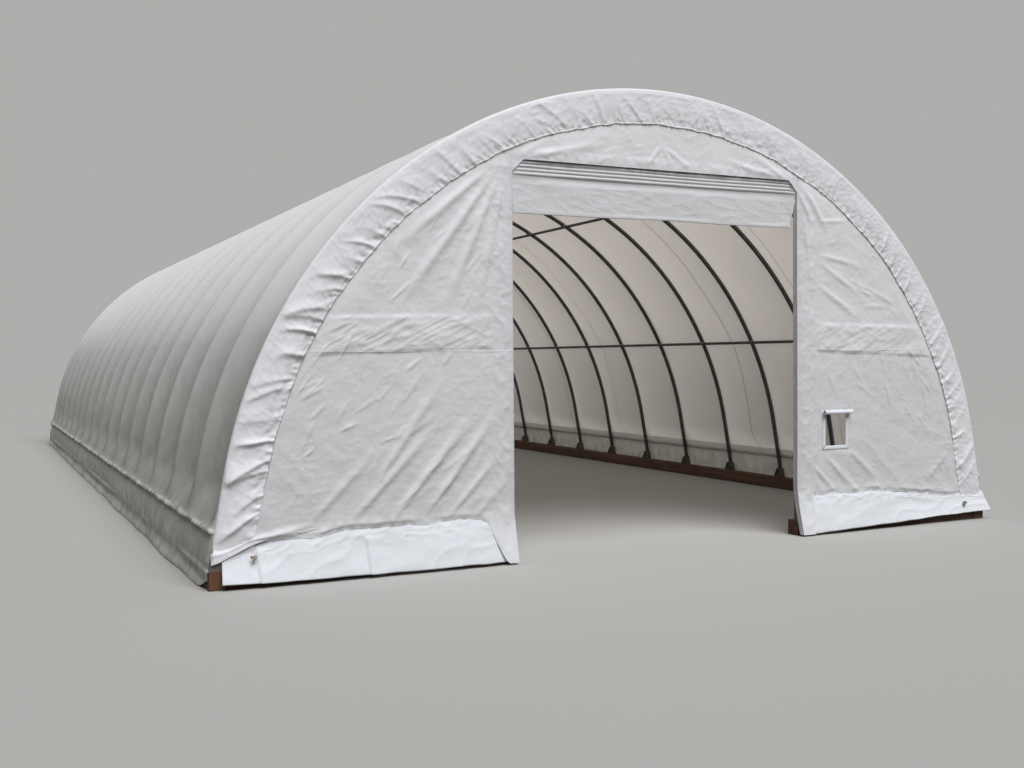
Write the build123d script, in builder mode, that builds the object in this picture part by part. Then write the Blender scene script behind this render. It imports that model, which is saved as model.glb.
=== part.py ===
"""Long fabric building on round steel hoops, standing on timber sills, with one open doorway.

Millimetres. The origin is the centre of the footprint on the ground, +Z is up and +Y runs
along the building from the doorway end to the closed end.
"""

from build123d import *
from math import cos, radians, sin, tan
import os

os.makedirs("parts", exist_ok=True)

# Bays and hoops
bay = 1219.2
bay_count = 16
hoop_tube = 60.0
arc_radius = 4515.0
arc_half_angle = 80.0
arc_centre_height = 163.0
chord_count = 33

# Purlins, under the middle of the sixth and thirteenth chord each side of the crown
purlin_tube = 42.0
purlin_chords = (6, 13)

# Timber base
sill_height = 165.0
sill_width = 150.0
sill_timbers = 4
timber_gap = 0.5

# Hoop feet
plate_thickness = 6.0
ear_thickness = 5.0
ear_height = 125.0
ear_top_width = 70.0
ear_clearance = 2.0

# Fabric
fabric = 3.0
seat = 0.3
seam_shift = 180.0
piece_count = 5
band_width = 350.0
band_thickness = 8.0

# Pipe in the cover's bottom pocket, and the skirt below it
pipe_tube = 42.0
pipe_height = 490.0
hem_height = 12.0
skirt_clearance = 6.0

# Doorway
door_left = -1705.0
door_right = 1761.0
door_height = 3890.0
door_corner = 120.0
post_size = 50.0
post_setback = 10.0

# Skirts of the end walls
end_skirt_top = 370.0
end_skirt_flare = 80.0
left_skirt_end = -4460.0
right_skirt_end = 4620.0
right_hem_rise = 110.0

# Gathered door curtain
pleat_count = 4
pleat_pitch = 38.0
pleat_height = 40.0
pleat_depth = 120.0
curtain_drop = 3365.0
curtain_end_gap = 12.0

# Vent window in the right-hand end panel
vent_left = 2157.0
vent_width = 296.0
vent_sill = 968.0
vent_height = 360.0
binding = 33.0
binding_thickness = 4.0
roll_diameter = 75.0
roll_overhang = 35.0

# Worked-out places
half_length = bay * bay_count / 2
hoop_radius = hoop_tube / 2
hoop_corner = hoop_radius / cos(radians(30))
purlin_radius = purlin_tube / 2
pipe_radius = pipe_tube / 2
half_chord = arc_half_angle / chord_count
chord_sag = arc_radius * (1 - cos(radians(half_chord)))
foot_height = sill_height + plate_thickness
cover_inner = (hoop_radius + seat) / cos(radians(half_chord))
cover_outer = cover_inner + fabric
frame_inner = -cover_inner
arch_top = arc_centre_height + arc_radius + cover_outer
pipe_shift = hoop_radius + seat + pipe_radius
cover_base = pipe_height + pipe_radius + seat
panel_back = hoop_corner + seat
panel_front = panel_back + fabric
band_back = panel_front + seat
ear_inner = hoop_corner + ear_clearance
ear_outer = ear_inner + ear_thickness
sill_end = ear_outer + ear_clearance
header_base = door_height


def leg_x(shift: float, height: float) -> float:
    """Half the width between two legs at a height, on a line shifted outward from the hoop's."""
    lean = radians(arc_half_angle)
    return (arc_radius + shift) / sin(lean) + (arc_centre_height - height) / tan(lean)


def arc_point(shift: float, angle: float) -> tuple[float, float]:
    """Point on the round part, by its angle from the crown."""
    radius = arc_radius + shift
    return radius * sin(radians(angle)), arc_centre_height + radius * cos(radians(angle))


sill_outer = leg_x(hoop_radius, sill_height)
sill_inner = sill_outer - sill_width
sill_centre = sill_outer - sill_width / 2


def cross_plane(y: float) -> Plane:
    """Upright plane across the building, drawn in X and Z."""
    return Plane.XZ.offset(-y)


def save(builder: BuildPart, name: str) -> None:
    """Label a finished piece and write it."""
    builder.part.label = name
    export_step(builder.part, f"parts/{name}.step")


def arch_line(shift: float, base: float) -> list[tuple[float, float]]:
    """Corners of an arch line in short chords, from the left foot over the crown to the right."""
    turns = [(2 * step - chord_count) * half_chord for step in range(chord_count + 1)]
    foot = leg_x(shift, base)
    return [(-foot, base), *(arc_point(shift, turn) for turn in turns), (foot, base)]


def arch_area(shift: float, base: float) -> Sketch:
    """Face below an arch line, down to a level base."""
    with BuildSketch() as area:
        with BuildLine():
            Polyline(*arch_line(shift, base), close=True)
        make_face()
    return area.sketch


def block(left: float, right: float, low: float, high: float, mode: Mode = Mode.ADD) -> None:
    """Draw a rectangle by its four edges."""
    with Locations(((left + right) / 2, (low + high) / 2)):
        Rectangle(right - left, high - low, mode=mode)


# Hoops: one bent pipe drawn as short chords, with a level cut where each leg stands on its foot
with BuildPart() as bent_pipe:
    with BuildLine(Plane.XZ) as bend:
        Polyline(*arch_line(0, sill_height - hoop_tube))
    with BuildSketch(Plane(bend.line @ 0, x_dir=(0, 1, 0), z_dir=bend.line % 0)):
        RegularPolygon(hoop_radius, 6, major_radius=False)
    sweep(transition=Transition.RIGHT)
    split(bisect_by=Plane.XY.offset(foot_height), keep=Keep.TOP)

for number in range(bay_count + 1):
    with BuildPart() as hoop:
        with Locations((0, number * bay - half_length, 0)):
            add(bent_pipe.part)
    save(hoop, f"hoop_{number + 1:02d}")

# Purlins: straight pipes tied up under the flat middle of a chord
purlin_shift = -(chord_sag + hoop_radius + seat + purlin_radius)
for side, name in ((-1, "left_purlins"), (1, "right_purlins")):
    with BuildPart() as purlins:
        with BuildSketch(cross_plane(half_length + hoop_radius)):
            for chord in purlin_chords:
                x, z = arc_point(purlin_shift, 2 * half_chord * chord)
                with Locations((side * x, z)):
                    Circle(purlin_radius)
        extrude(amount=2 * (half_length + hoop_radius))
    save(purlins, name)

with BuildPart() as ridge:
    with BuildSketch(cross_plane(half_length + hoop_radius)):
        with Locations(arc_point(purlin_shift, 0)):
            Circle(purlin_radius)
    extrude(amount=2 * (half_length + hoop_radius))
save(ridge, "ridge_purlin")

# Sills: square timbers end to end under the hoop feet
timber_pitch = 2 * (half_length + sill_end) / sill_timbers
for side, name in ((-1, "left_sill"), (1, "right_sill")):
    with BuildPart() as sill:
        with BuildSketch():
            with Locations((side * sill_centre, 0)):
                with GridLocations(0, timber_pitch, 1, sill_timbers):
                    Rectangle(sill_width, timber_pitch - timber_gap)
        extrude(amount=sill_height)
    save(sill, name)

# End timbers: butted between the sills, open at the doorway
with BuildPart() as front_sill:
    with BuildSketch():
        front_low = -half_length - hoop_radius
        block(-sill_inner, door_left, front_low, front_low + sill_width)
        block(door_right, sill_inner, front_low, front_low + sill_width)
    extrude(amount=sill_height)
save(front_sill, "front_sill")

with BuildPart() as rear_sill:
    with BuildSketch():
        rear_high = half_length + hoop_radius
        block(-sill_inner, sill_inner, rear_high - sill_width, rear_high)
    extrude(amount=sill_height)
save(rear_sill, "rear_sill")

# Feet: a plate on the sill with two ears that hold the end of each hoop between them
for side, name in ((-1, "left_feet"), (1, "right_feet")):
    ear_low = side * (sill_inner + ear_thickness)
    ear_high = side * (leg_x(hoop_radius, foot_height + ear_height) - ear_top_width)
    leg_high = side * leg_x(hoop_radius, foot_height + ear_height)
    leg_low = side * leg_x(hoop_radius, foot_height)
    with BuildPart() as feet:
        with BuildSketch(Plane.XY.offset(sill_height)):
            with Locations((side * sill_centre, 0)):
                with GridLocations(0, bay, 1, bay_count + 1):
                    Rectangle(sill_width, 2 * ear_outer)
        extrude(amount=plate_thickness)
        for number in range(bay_count + 1):
            hoop_y = number * bay - half_length
            for ear_y in (hoop_y - ear_inner, hoop_y + ear_outer):
                with BuildSketch(cross_plane(ear_y)):
                    with BuildLine():
                        Polyline(
                            (ear_low, foot_height),
                            (ear_high, foot_height + ear_height),
                            (leg_high, foot_height + ear_height),
                            (leg_low, foot_height),
                            close=True,
                        )
                    make_face()
                extrude(amount=ear_thickness)
    save(feet, name)

# Cover: strips welded side by side, drawn tight over the hoops down to the pipe
cover_end = half_length + band_back
piece_pitch = (2 * cover_end - seam_shift) / piece_count
for piece in range(piece_count):
    near = -cover_end + (seam_shift + piece * piece_pitch if piece else 0)
    far = -cover_end + seam_shift + (piece + 1) * piece_pitch
    with BuildPart() as cover:
        with BuildSketch(cross_plane(far)):
            add(arch_area(cover_outer, cover_base))
            add(arch_area(cover_inner, cover_base), mode=Mode.SUBTRACT)
        extrude(amount=far - near)
    save(cover, f"cover_{piece + 1}")

# Pipes in the bottom pocket of the cover, drawn against the outside of the hoop legs
pipe_x = leg_x(pipe_shift, pipe_height)
side_end = half_length + panel_back
with BuildPart() as cover_pipes:
    with BuildSketch(cross_plane(side_end)):
        with Locations((-pipe_x, pipe_height), (pipe_x, pipe_height)):
            Circle(pipe_radius)
    extrude(amount=2 * side_end)
save(cover_pipes, "cover_pipes")

# Side skirts: loose fabric from the pipe to the ground, outside the sill
skirt_head = pipe_height - pipe_radius - seat
skirt_foot = sill_outer + skirt_clearance + fabric
for side, name in ((-1, "left_side_skirt"), (1, "right_side_skirt")):
    with BuildPart() as side_skirt:
        with BuildSketch(cross_plane(side_end)):
            with BuildLine():
                Polyline(
                    (side * (pipe_x - fabric), skirt_head),
                    (side * pipe_x, skirt_head),
                    (side * skirt_foot, sill_height),
                    (side * skirt_foot, hem_height),
                    (side * (skirt_foot - fabric), hem_height),
                    (side * (skirt_foot - fabric), sill_height),
                    close=True,
                )
            make_face()
        extrude(amount=2 * side_end)
    save(side_skirt, name)

# Bands: the cover's ends, drawn round the end hoops and over the end walls
for side, name in ((-1, "front_band"), (1, "rear_band")):
    with BuildPart() as band:
        with BuildSketch(cross_plane(side * (half_length + band_back))):
            add(arch_area(cover_outer, end_skirt_top))
            add(arch_area(cover_outer - band_width, end_skirt_top), mode=Mode.SUBTRACT)
        extrude(amount=-side * band_thickness)
    save(band, name)

# End walls: one sheet beside, over and beyond the doorway
front_wall_plane = cross_plane(-half_length - panel_back)

with BuildPart() as front_left_panel:
    with BuildSketch(front_wall_plane):
        add(arch_area(hoop_radius, end_skirt_top))
        block(-sill_outer, door_left, end_skirt_top, arch_top, Mode.INTERSECT)
    extrude(amount=fabric)
save(front_left_panel, "front_left_panel")

with BuildPart() as front_right_panel:
    with BuildSketch(front_wall_plane):
        add(arch_area(hoop_radius, end_skirt_top))
        block(door_right, sill_outer, end_skirt_top, arch_top, Mode.INTERSECT)
        block(
            vent_left,
            vent_left + vent_width,
            vent_sill,
            vent_sill + vent_height,
            Mode.SUBTRACT,
        )
    extrude(amount=fabric)
save(front_right_panel, "front_right_panel")

with BuildPart() as front_top_panel:
    with BuildSketch(front_wall_plane):
        add(arch_area(hoop_radius, end_skirt_top))
        block(door_left, door_right, door_height - door_corner, arch_top, Mode.INTERSECT)
        with BuildLine():
            Polyline(
                (door_left, door_height - door_corner),
                (door_left + door_corner, door_height),
                (door_right - door_corner, door_height),
                (door_right, door_height - door_corner),
                close=True,
            )
        make_face(mode=Mode.SUBTRACT)
    extrude(amount=fabric)
save(front_top_panel, "front_top_panel")

with BuildPart() as rear_panel:
    with BuildSketch(cross_plane(half_length + panel_back)):
        add(arch_area(hoop_radius, end_skirt_top))
    extrude(amount=-fabric)
save(rear_panel, "rear_panel")

# Skirts of the end walls: flared flaps, the right-hand front one rising towards its corner

def flap_section(side: int) -> Sketch:
    """Section of one flared flap, from its top edge down to the hem."""
    top_y = side * (half_length + panel_back)
    low_y = top_y + side * end_skirt_flare
    with BuildSketch() as section:
        with BuildLine():
            Polyline(
                (top_y, end_skirt_top - seat),
                (top_y + side * fabric, end_skirt_top - seat),
                (low_y + side * fabric, hem_height),
                (low_y, hem_height),
                close=True,
            )
        make_face()
    return section.sketch


with BuildPart() as front_left_skirt:
    with BuildSketch(Plane.YZ.offset(left_skirt_end)):
        add(flap_section(-1))
    extrude(amount=door_left - left_skirt_end)
save(front_left_skirt, "front_left_skirt")

with BuildPart() as front_right_skirt:
    with BuildSketch(Plane.YZ.offset(door_right)):
        add(flap_section(-1))
    extrude(amount=right_skirt_end - door_right)
    hem_line = Plane(
        (door_right, 0, hem_height),
        x_dir=(0, 1, 0),
        z_dir=(-right_hem_rise, 0, right_skirt_end - door_right),
    )
    split(bisect_by=hem_line, keep=Keep.TOP)
save(front_right_skirt, "front_right_skirt")

with BuildPart() as rear_skirt:
    with BuildSketch(Plane.YZ.offset(left_skirt_end)):
        add(flap_section(1))
    extrude(amount=-2 * left_skirt_end)
save(rear_skirt, "rear_skirt")

# Posts and header of the doorway, and the two posts that stiffen the closed end
post_left = door_left - post_setback
post_right = door_right + post_setback



def frame_bar(left: float, right: float, low: float, high: float) -> Sketch:
    """Face of a post or header, cut off where it meets the inside of the hoop."""
    with BuildSketch() as bar:
        add(arch_area(frame_inner, sill_height))
        block(left, right, low, high, Mode.INTERSECT)
    return bar.sketch


with BuildPart() as door_frame:
    with BuildSketch(cross_plane(-half_length + post_size / 2)):
        add(frame_bar(post_left - post_size, post_left, sill_height, arch_top))
        add(frame_bar(post_right, post_right + post_size, sill_height, arch_top))
        add(frame_bar(post_left + seat, post_right - seat, header_base, header_base + post_size))
    extrude(amount=post_size)
save(door_frame, "door_frame")

with BuildPart() as rear_posts:
    with BuildSketch(cross_plane(half_length + post_size / 2)):
        add(frame_bar(-post_right, -post_right + post_size, sill_height, arch_top))
        add(frame_bar(post_right - post_size, post_right, sill_height, arch_top))
    extrude(amount=post_size)
save(rear_posts, "rear_posts")

# Door curtain: stacked folds under the header, with the bottom flap hanging from them
curtain_left = post_left + curtain_end_gap
curtain_right = post_right - curtain_end_gap
fold_top = header_base - seat - pleat_height / 2
fold_front = -half_length - post_size / 2
fold_middle = fold_front + pleat_depth / 2
flap_top = fold_top - (pleat_count - 1) * pleat_pitch

with BuildPart() as door_curtain:
    with BuildSketch(Plane.YZ.offset(curtain_left)):
        for fold in range(pleat_count):
            with Locations((fold_middle, fold_top - fold * pleat_pitch)):
                SlotOverall(pleat_depth, pleat_height)
        block(fold_middle, fold_middle + fabric, curtain_drop, flap_top)
    extrude(amount=curtain_right - curtain_left)
    with BuildSketch(cross_plane(fold_front + pleat_depth)):
        add(arch_area(frame_inner - curtain_end_gap, sill_height))
    extrude(amount=pleat_depth, mode=Mode.INTERSECT)
save(door_curtain, "door_curtain")

# Vent window: a bound hole with its flap rolled up above it
vent_right = vent_left + vent_width
vent_top = vent_sill + vent_height
roll_radius = roll_diameter / 2

with BuildPart() as vent_binding:
    with BuildSketch(cross_plane(-half_length - panel_front)):
        block(vent_left - binding, vent_right + binding, vent_sill - binding, vent_top + binding)
        block(vent_left, vent_right, vent_sill, vent_top, Mode.SUBTRACT)
    extrude(amount=binding_thickness)
save(vent_binding, "vent_binding")

with BuildPart() as vent_flap:
    with BuildSketch(Plane.YZ.offset(vent_left - roll_overhang)):
        roll_y = -half_length - panel_front - binding_thickness - seat - roll_radius
        with Locations((roll_y, vent_top + binding / 2)):
            Circle(roll_radius)
    extrude(amount=vent_width + 2 * roll_overhang)
save(vent_flap, "vent_flap")
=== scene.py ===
"""Long fabric building on round steel hoops: its cloth, pipes, timber and fittings.

Metres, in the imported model's frame: +Z up, +Y from the doorway end to the closed end, and the
origin at the centre of the footprint on the ground.
"""

from __future__ import annotations

import logging
import math
from dataclasses import dataclass
from enum import Enum

import bmesh
import bpy
import numpy as np
from mathutils import Matrix, Vector


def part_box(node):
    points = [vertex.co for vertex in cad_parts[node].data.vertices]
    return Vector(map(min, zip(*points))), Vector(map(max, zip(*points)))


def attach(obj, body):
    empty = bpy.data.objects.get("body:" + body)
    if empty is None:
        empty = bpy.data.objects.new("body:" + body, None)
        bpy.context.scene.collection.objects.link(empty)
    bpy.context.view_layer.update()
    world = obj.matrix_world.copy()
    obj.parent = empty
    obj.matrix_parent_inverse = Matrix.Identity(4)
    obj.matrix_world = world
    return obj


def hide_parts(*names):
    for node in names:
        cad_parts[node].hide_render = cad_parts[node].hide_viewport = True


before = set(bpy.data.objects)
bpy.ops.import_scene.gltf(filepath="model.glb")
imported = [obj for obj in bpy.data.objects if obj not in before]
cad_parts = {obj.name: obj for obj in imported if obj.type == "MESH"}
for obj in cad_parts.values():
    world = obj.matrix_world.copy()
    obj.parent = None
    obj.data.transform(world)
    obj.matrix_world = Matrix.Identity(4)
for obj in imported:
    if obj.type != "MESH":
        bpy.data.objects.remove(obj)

LOG = logging.getLogger("fabric_building")
Point = tuple[float, float]
Triple = tuple[float, float, float]
Colour = Triple
Array = np.ndarray
Material = bpy.types.Material
Piece = bpy.types.Object
Socket = bpy.types.NodeSocket


class End(Enum):
    """The two ends of the building, by the way that they face along Y."""

    FRONT = -1
    REAR = 1


class Flank(Enum):
    """The two long sides, by the way that they face along X."""

    LEFT = -1
    RIGHT = 1


class Hold(Enum):
    """What keeps a sheet of cloth in its shape."""

    GATHERED = "gathered"
    HUNG = "hung"
    FOLDED = "folded"
    STRETCHED = "stretched"


# Sizes shared by the sub-assemblies


@dataclass(frozen=True)
class Hall:
    """Main sizes, which every sub-assembly takes its place from."""

    bay: float = 1.2192
    bays: int = 16
    pipe: float = 0.060
    radius: float = 4.515
    half_angle: float = math.radians(80.0)
    centre_height: float = 0.163
    sill_height: float = 0.165
    plate: float = 0.006
    pocket_height: float = 0.490
    door_left: float = -1.705
    door_right: float = 1.761
    door_height: float = 3.890
    door_corner: float = 0.120

    @property
    def half_length(self) -> float:
        """Distance from the middle to an end hoop."""
        return self.bay * self.bays / 2

    @property
    def hoops(self) -> Array:
        """Places of the hoops along the building."""
        return (np.arange(self.bays + 1) - self.bays / 2) * self.bay

    @property
    def spring(self) -> float:
        """Length of the round part, from the crown to where a leg starts."""
        return self.radius * self.half_angle

    def length_at(self, height: float) -> float:
        """Length from the crown to a height on a leg."""
        start = self.centre_height + self.radius * math.cos(self.half_angle)
        return self.spring + (start - height) / math.sin(self.half_angle)

    def place(self, length: Array, shift: Array) -> tuple[Array, Array]:
        """Places along the arch.

        Args:
            length: signed length from the crown, growing towards the right.
            shift: distance outward from the hoop's own line.

        Returns:
            X and Z of each place.
        """
        length = np.asarray(length, float)
        turn = np.clip(length / self.radius, -self.half_angle, self.half_angle)
        beyond = np.maximum(np.abs(length) - self.spring, 0.0)
        reach = self.radius + shift
        x = reach * np.sin(turn) + np.sign(length) * beyond * math.cos(self.half_angle)
        z = self.centre_height + reach * np.cos(turn) - beyond * math.sin(self.half_angle)
        return x, z

    def leg_x(self, height: float, shift: float = 0.0) -> float:
        """Half the width between the legs at a height."""
        rise = self.centre_height - height
        return (self.radius + shift) / math.sin(self.half_angle) + rise / math.tan(self.half_angle)

    def arch_height(self, across: Array) -> Array:
        """Height of the hoop's line.

        Args:
            across: places across the building.

        Returns:
            Height above each of them.
        """
        across = np.abs(np.asarray(across, float))
        sine = math.sin(self.half_angle)
        round_part = np.sqrt(np.maximum(self.radius**2 - across**2, 0.0)) + self.centre_height
        leg = self.centre_height - (across - self.radius / sine) * math.tan(self.half_angle)
        return np.where(across < self.radius * sine, round_part, leg)


def ease(value: Array, low: float, high: float) -> Array:
    """Smooth rise from 0 at low to 1 at high."""
    part = np.clip((np.asarray(value, float) - low) / (high - low), 0.0, 1.0)
    return part * part * (3 - 2 * part)


def bell(away: Array, spread: float) -> Array:
    """Smooth hump of height 1 round 0."""
    return np.exp(-((away / spread) ** 2))


HALL = Hall()


# Shapes of cloth

CLEAR = 40.0  # shift that takes every place of a pattern above zero


@dataclass(frozen=True)
class Crumple:
    """Smooth random relief, the same on every run, with bumps a reach apart."""

    seed: int
    reach: float

    def height(self, across: Array, along: Array) -> Array:
        """Soft bumps and hollows.

        Args:
            across: places across the pattern, in metres.
            along: places along it.

        Returns:
            Height from -1 to 1 at each place.
        """
        side = 128
        table = np.random.default_rng(self.seed).uniform(-1.0, 1.0, (side, side))
        u, v = np.broadcast_arrays(np.asarray(across) / self.reach, np.asarray(along) / self.reach)
        i, j = np.floor(u).astype(int), np.floor(v).astype(int)
        a, b = ease(u - i, 0, 1), ease(v - j, 0, 1)
        i, j, next_i, next_j = i % side, j % side, (i + 1) % side, (j + 1) % side
        near = table[i, j] * (1 - a) + table[next_i, j] * a
        far = table[i, next_j] * (1 - a) + table[next_i, next_j] * a
        return near * (1 - b) + far * b

    def ridges(self, across: Array, along: Array) -> Array:
        """Sharp crests with soft hollows between them, from 0 to 1."""
        return (1 - np.abs(self.height(across, along))) ** 3


@dataclass(frozen=True)
class Fold:
    """One long soft fold of a wall, widest at its end."""

    start: Point
    end: Point
    width: float
    height: float
    blunt_start: bool = False

    def relief(self, x: Array, z: Array) -> Array:
        """How far the fold stands out.

        Args:
            x, z: places on the wall.

        Returns:
            Relief at each place.
        """
        run_x, run_z = self.end[0] - self.start[0], self.end[1] - self.start[1]
        length = float(np.hypot(run_x, run_z))
        from_x, from_z = x - self.start[0], z - self.start[1]
        along = (from_x * run_x + from_z * run_z) / length**2
        across = (from_x * run_z - from_z * run_x) / length
        first = -0.05 if self.blunt_start else 0.0
        fade = ease(1 - along, 0.0, 0.45) * ease(along, first, 0.3)
        return self.height * fade * bell(across, self.width * (0.55 + 0.45 * np.clip(along, 0, 1)))


@dataclass(frozen=True)
class FrontFoot:
    """Lower edge of the front's cloth: where it flares, and where the wall meets the flaps."""

    flare: float = 0.112
    strip_left: Point = (-2.10, -1.80)
    strip_right: Point = (1.925, 1.990)

    def bend_height(self, x: Array) -> Array:
        """Height at which the cloth starts to flare out, lower towards the corners."""
        left, right = ease(-x, 3.5, 4.35), ease(x, 2.6, 4.4)
        return np.where(x < 0, 0.480 - 0.150 * left, 0.475 - 0.150 * right)

    def flap_top(self, x: Array) -> Array:
        """Upper edge of the flaps, behind the wall's own edge.

        Args:
            x: places across the front.

        Returns:
            Height at each place.
        """
        left = 0.345 + 0.080 * ease(x, -4.52, -4.22) + 0.055 * ease(x, -3.75, -3.35)
        right = 0.468 - 0.120 * ease(x, 2.7, 4.3)
        rough = 0.012 * Crumple(49, 0.10).height(x + CLEAR, 0 * x)
        rough = rough + 0.010 * Crumple(50, 0.33).height(x + CLEAR, 0 * x)
        return np.where(x < 0, left, right) + rough * ease(np.abs(x), 2.0, 2.3)

    def strip_share(self, x: Array) -> Array:
        """1 where the strip beside the doorway runs to the ground, falling to 0 over the flaps."""
        left, right = ease(x, *self.strip_left) ** 1.5, 1 - ease(x, *self.strip_right)
        return np.where(x < 0, left, right)

    def wall_edge(self, x: Array) -> Array:
        """Lower edge of the wall: on the ground beside the doorway, above the flaps elsewhere."""
        strip = self.strip_share(x)
        return np.maximum((self.flap_top(x) - 0.035) * (1 - strip) + 0.018 * strip, 0.008)

    def reach(self, x: Array, z: Array) -> Array:
        """How far the cloth stands out near the ground."""
        start = self.bend_height(x)
        return self.flare * np.clip((start - z) / start, 0.0, 1.0) ** 1.15


FOOT = FrontFoot()


def add_object(name: str, data: bpy.types.ID) -> Piece:
    """Put a new object in the scene.

    Args:
        name: its name.
        data: its mesh, lamp or camera.

    Returns:
        The object.
    """
    made = bpy.data.objects.new(name, data)
    bpy.context.scene.collection.objects.link(made)
    return made


def cloth_object(name: str, patches: list[Array], flip: bool = False) -> Piece:
    """Mesh of one sheet, from grids of places that share their edges.

    Args:
        name: name of the piece.
        patches: grids of places, each rows by columns by 3.
        flip: turn the faces over.

    Returns:
        The object, with smooth faces.
    """
    places, faces, start = [], [], 0
    for patch in patches:
        rows, columns = patch.shape[:2]
        index = np.arange(rows * columns).reshape(rows, columns) + start
        quads = np.stack([index[:-1, :-1], index[:-1, 1:], index[1:, 1:], index[1:, :-1]], -1)
        quads = quads.reshape(-1, 4)
        faces.append(quads[:, ::-1] if flip else quads)
        places.append(patch.reshape(-1, 3))
        start += rows * columns
    mesh = bpy.data.meshes.new(name)
    mesh.from_pydata(np.concatenate(places).tolist(), [], np.concatenate(faces).tolist())
    if len(patches) > 1:
        weld = bmesh.new()
        weld.from_mesh(mesh)
        bmesh.ops.remove_doubles(weld, verts=weld.verts, dist=0.0002)
        weld.to_mesh(mesh)
        weld.free()
    mesh.polygons.foreach_set("use_smooth", np.ones(len(mesh.polygons), bool))
    return add_object(name, mesh)


def grid(x: Array, y: Array, z: Array) -> Array:
    """Grid of places from grids, rows or columns of X, Y and Z."""
    return np.stack(np.broadcast_arrays(x, y, z), -1)


def tube_places(line: Array, radius: Array | float, sides: int) -> Array:
    """Round tube along a line.

    Args:
        line: places along its middle.
        radius: its radius, or one for each place.
        sides: faces round it.

    Returns:
        Grid of places, rows along the line.
    """
    run = np.gradient(line, axis=0)
    run /= np.linalg.norm(run, axis=1, keepdims=True)
    first = np.cross(run, [0.0, 0.0, 1.0])
    first += np.cross(run, [0.0, 1.0, 0.0]) * 1e-3
    first /= np.linalg.norm(first, axis=1, keepdims=True)
    second = np.cross(run, first)
    turn = np.linspace(0, 2 * np.pi, sides + 1)[None, :, None]
    radius = np.broadcast_to(np.asarray(radius, float).reshape(-1, 1, 1), (len(line), 1, 1))
    return line[:, None] + radius * (np.cos(turn) * first[:, None] + np.sin(turn) * second[:, None])


# Node trees


class Board:
    """Adds nodes to one tree, for a finish or for a repeated shape."""

    def __init__(self, tree: bpy.types.NodeTree) -> None:
        """Start on an empty tree."""
        self.tree = tree

    def node(
        self,
        kind: str,
        settings: dict[str, object] | None = None,
        inputs: dict[str | int, object] | None = None,
    ) -> bpy.types.Node:
        """Add one node.

        Args:
            kind: the node's type.
            settings: its own settings, set first.
            inputs: values, sockets or wires, by the name or number of an input.

        Returns:
            The node.
        """
        made = self.tree.nodes.new(kind)
        for name, value in (settings or {}).items():
            setattr(made, name, value)
        for key, value in (inputs or {}).items():
            self.feed(made.inputs[key], value)
        return made

    def feed(self, socket: Socket, value: object) -> None:
        """Set an input, or link it.

        Args:
            socket: the input.
            value: a value, an output socket or a wire.
        """
        value = value.socket if isinstance(value, Wire) else value
        if isinstance(value, Socket):
            self.tree.links.new(value, socket)
        else:
            socket.default_value = value

    def wire(self, kind: str, settings: dict | None = None, inputs: dict | None = None) -> Wire:
        """Add a node whose first output is a number."""
        return Wire(self, self.node(kind, settings, inputs).outputs[0])

    def blend(self, share: object, first: object, second: object) -> Socket:
        """Mix two colours.

        Args:
            share: share of the second one.
            first: colour at a share of 0.
            second: colour at a share of 1.

        Returns:
            The mixed colour.
        """
        ends = [(*end, 1.0) if isinstance(end, tuple) else end for end in (first, second)]
        mix = self.node("ShaderNodeMix", {"data_type": "RGBA"}, {0: share, 6: ends[0], 7: ends[1]})
        return mix.outputs[2]


class Wire:
    """A number that varies over a surface, used in sums as a Python number is."""

    def __init__(self, board: Board, socket: Socket) -> None:
        """Wrap one output socket."""
        self.board, self.socket = board, socket

    def _sum(self, operation: str, *terms: object) -> Wire:
        """Add one Math node."""
        return self.board.wire("ShaderNodeMath", {"operation": operation}, dict(enumerate(terms)))

    def __add__(self, other: object) -> Wire:
        """Sum."""
        return self._sum("ADD", self, other)

    __radd__ = __add__

    def __mul__(self, other: object) -> Wire:
        """Product."""
        return self._sum("MULTIPLY", self, other)

    __rmul__ = __mul__

    def __sub__(self, other: object) -> Wire:
        """Difference."""
        return self._sum("SUBTRACT", self, other)

    def __rsub__(self, other: object) -> Wire:
        """Difference, the other way round."""
        return self._sum("SUBTRACT", other, self)

    def __truediv__(self, other: object) -> Wire:
        """Quotient."""
        return self._sum("DIVIDE", self, other)

    def __pow__(self, other: object) -> Wire:
        """Power."""
        return self._sum("POWER", self, other)

    def __abs__(self) -> Wire:
        """Size without its sign."""
        return self._sum("ABSOLUTE", self)

    def higher_of(self, other: object) -> Wire:
        """The larger of the two."""
        return self._sum("MAXIMUM", self, other)

    def repeated(self, pitch: float) -> Wire:
        """Distance to the nearest whole number of pitches."""
        return self._sum("PINGPONG", self, pitch / 2)

    def rise(self, low: float, high: float) -> Wire:
        """Smooth step.

        Args:
            low: where the result is 0.
            high: where it is 1, above or below low.

        Returns:
            A number from 0 to 1.
        """
        settings = {"interpolation_type": "SMOOTHSTEP", "clamp": True}
        inputs = {"Value": self, "From Min": min(low, high), "From Max": max(low, high)}
        inputs |= {"To Min": float(low > high), "To Max": float(low <= high)}
        return self.board.wire("ShaderNodeMapRange", settings, inputs)


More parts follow.
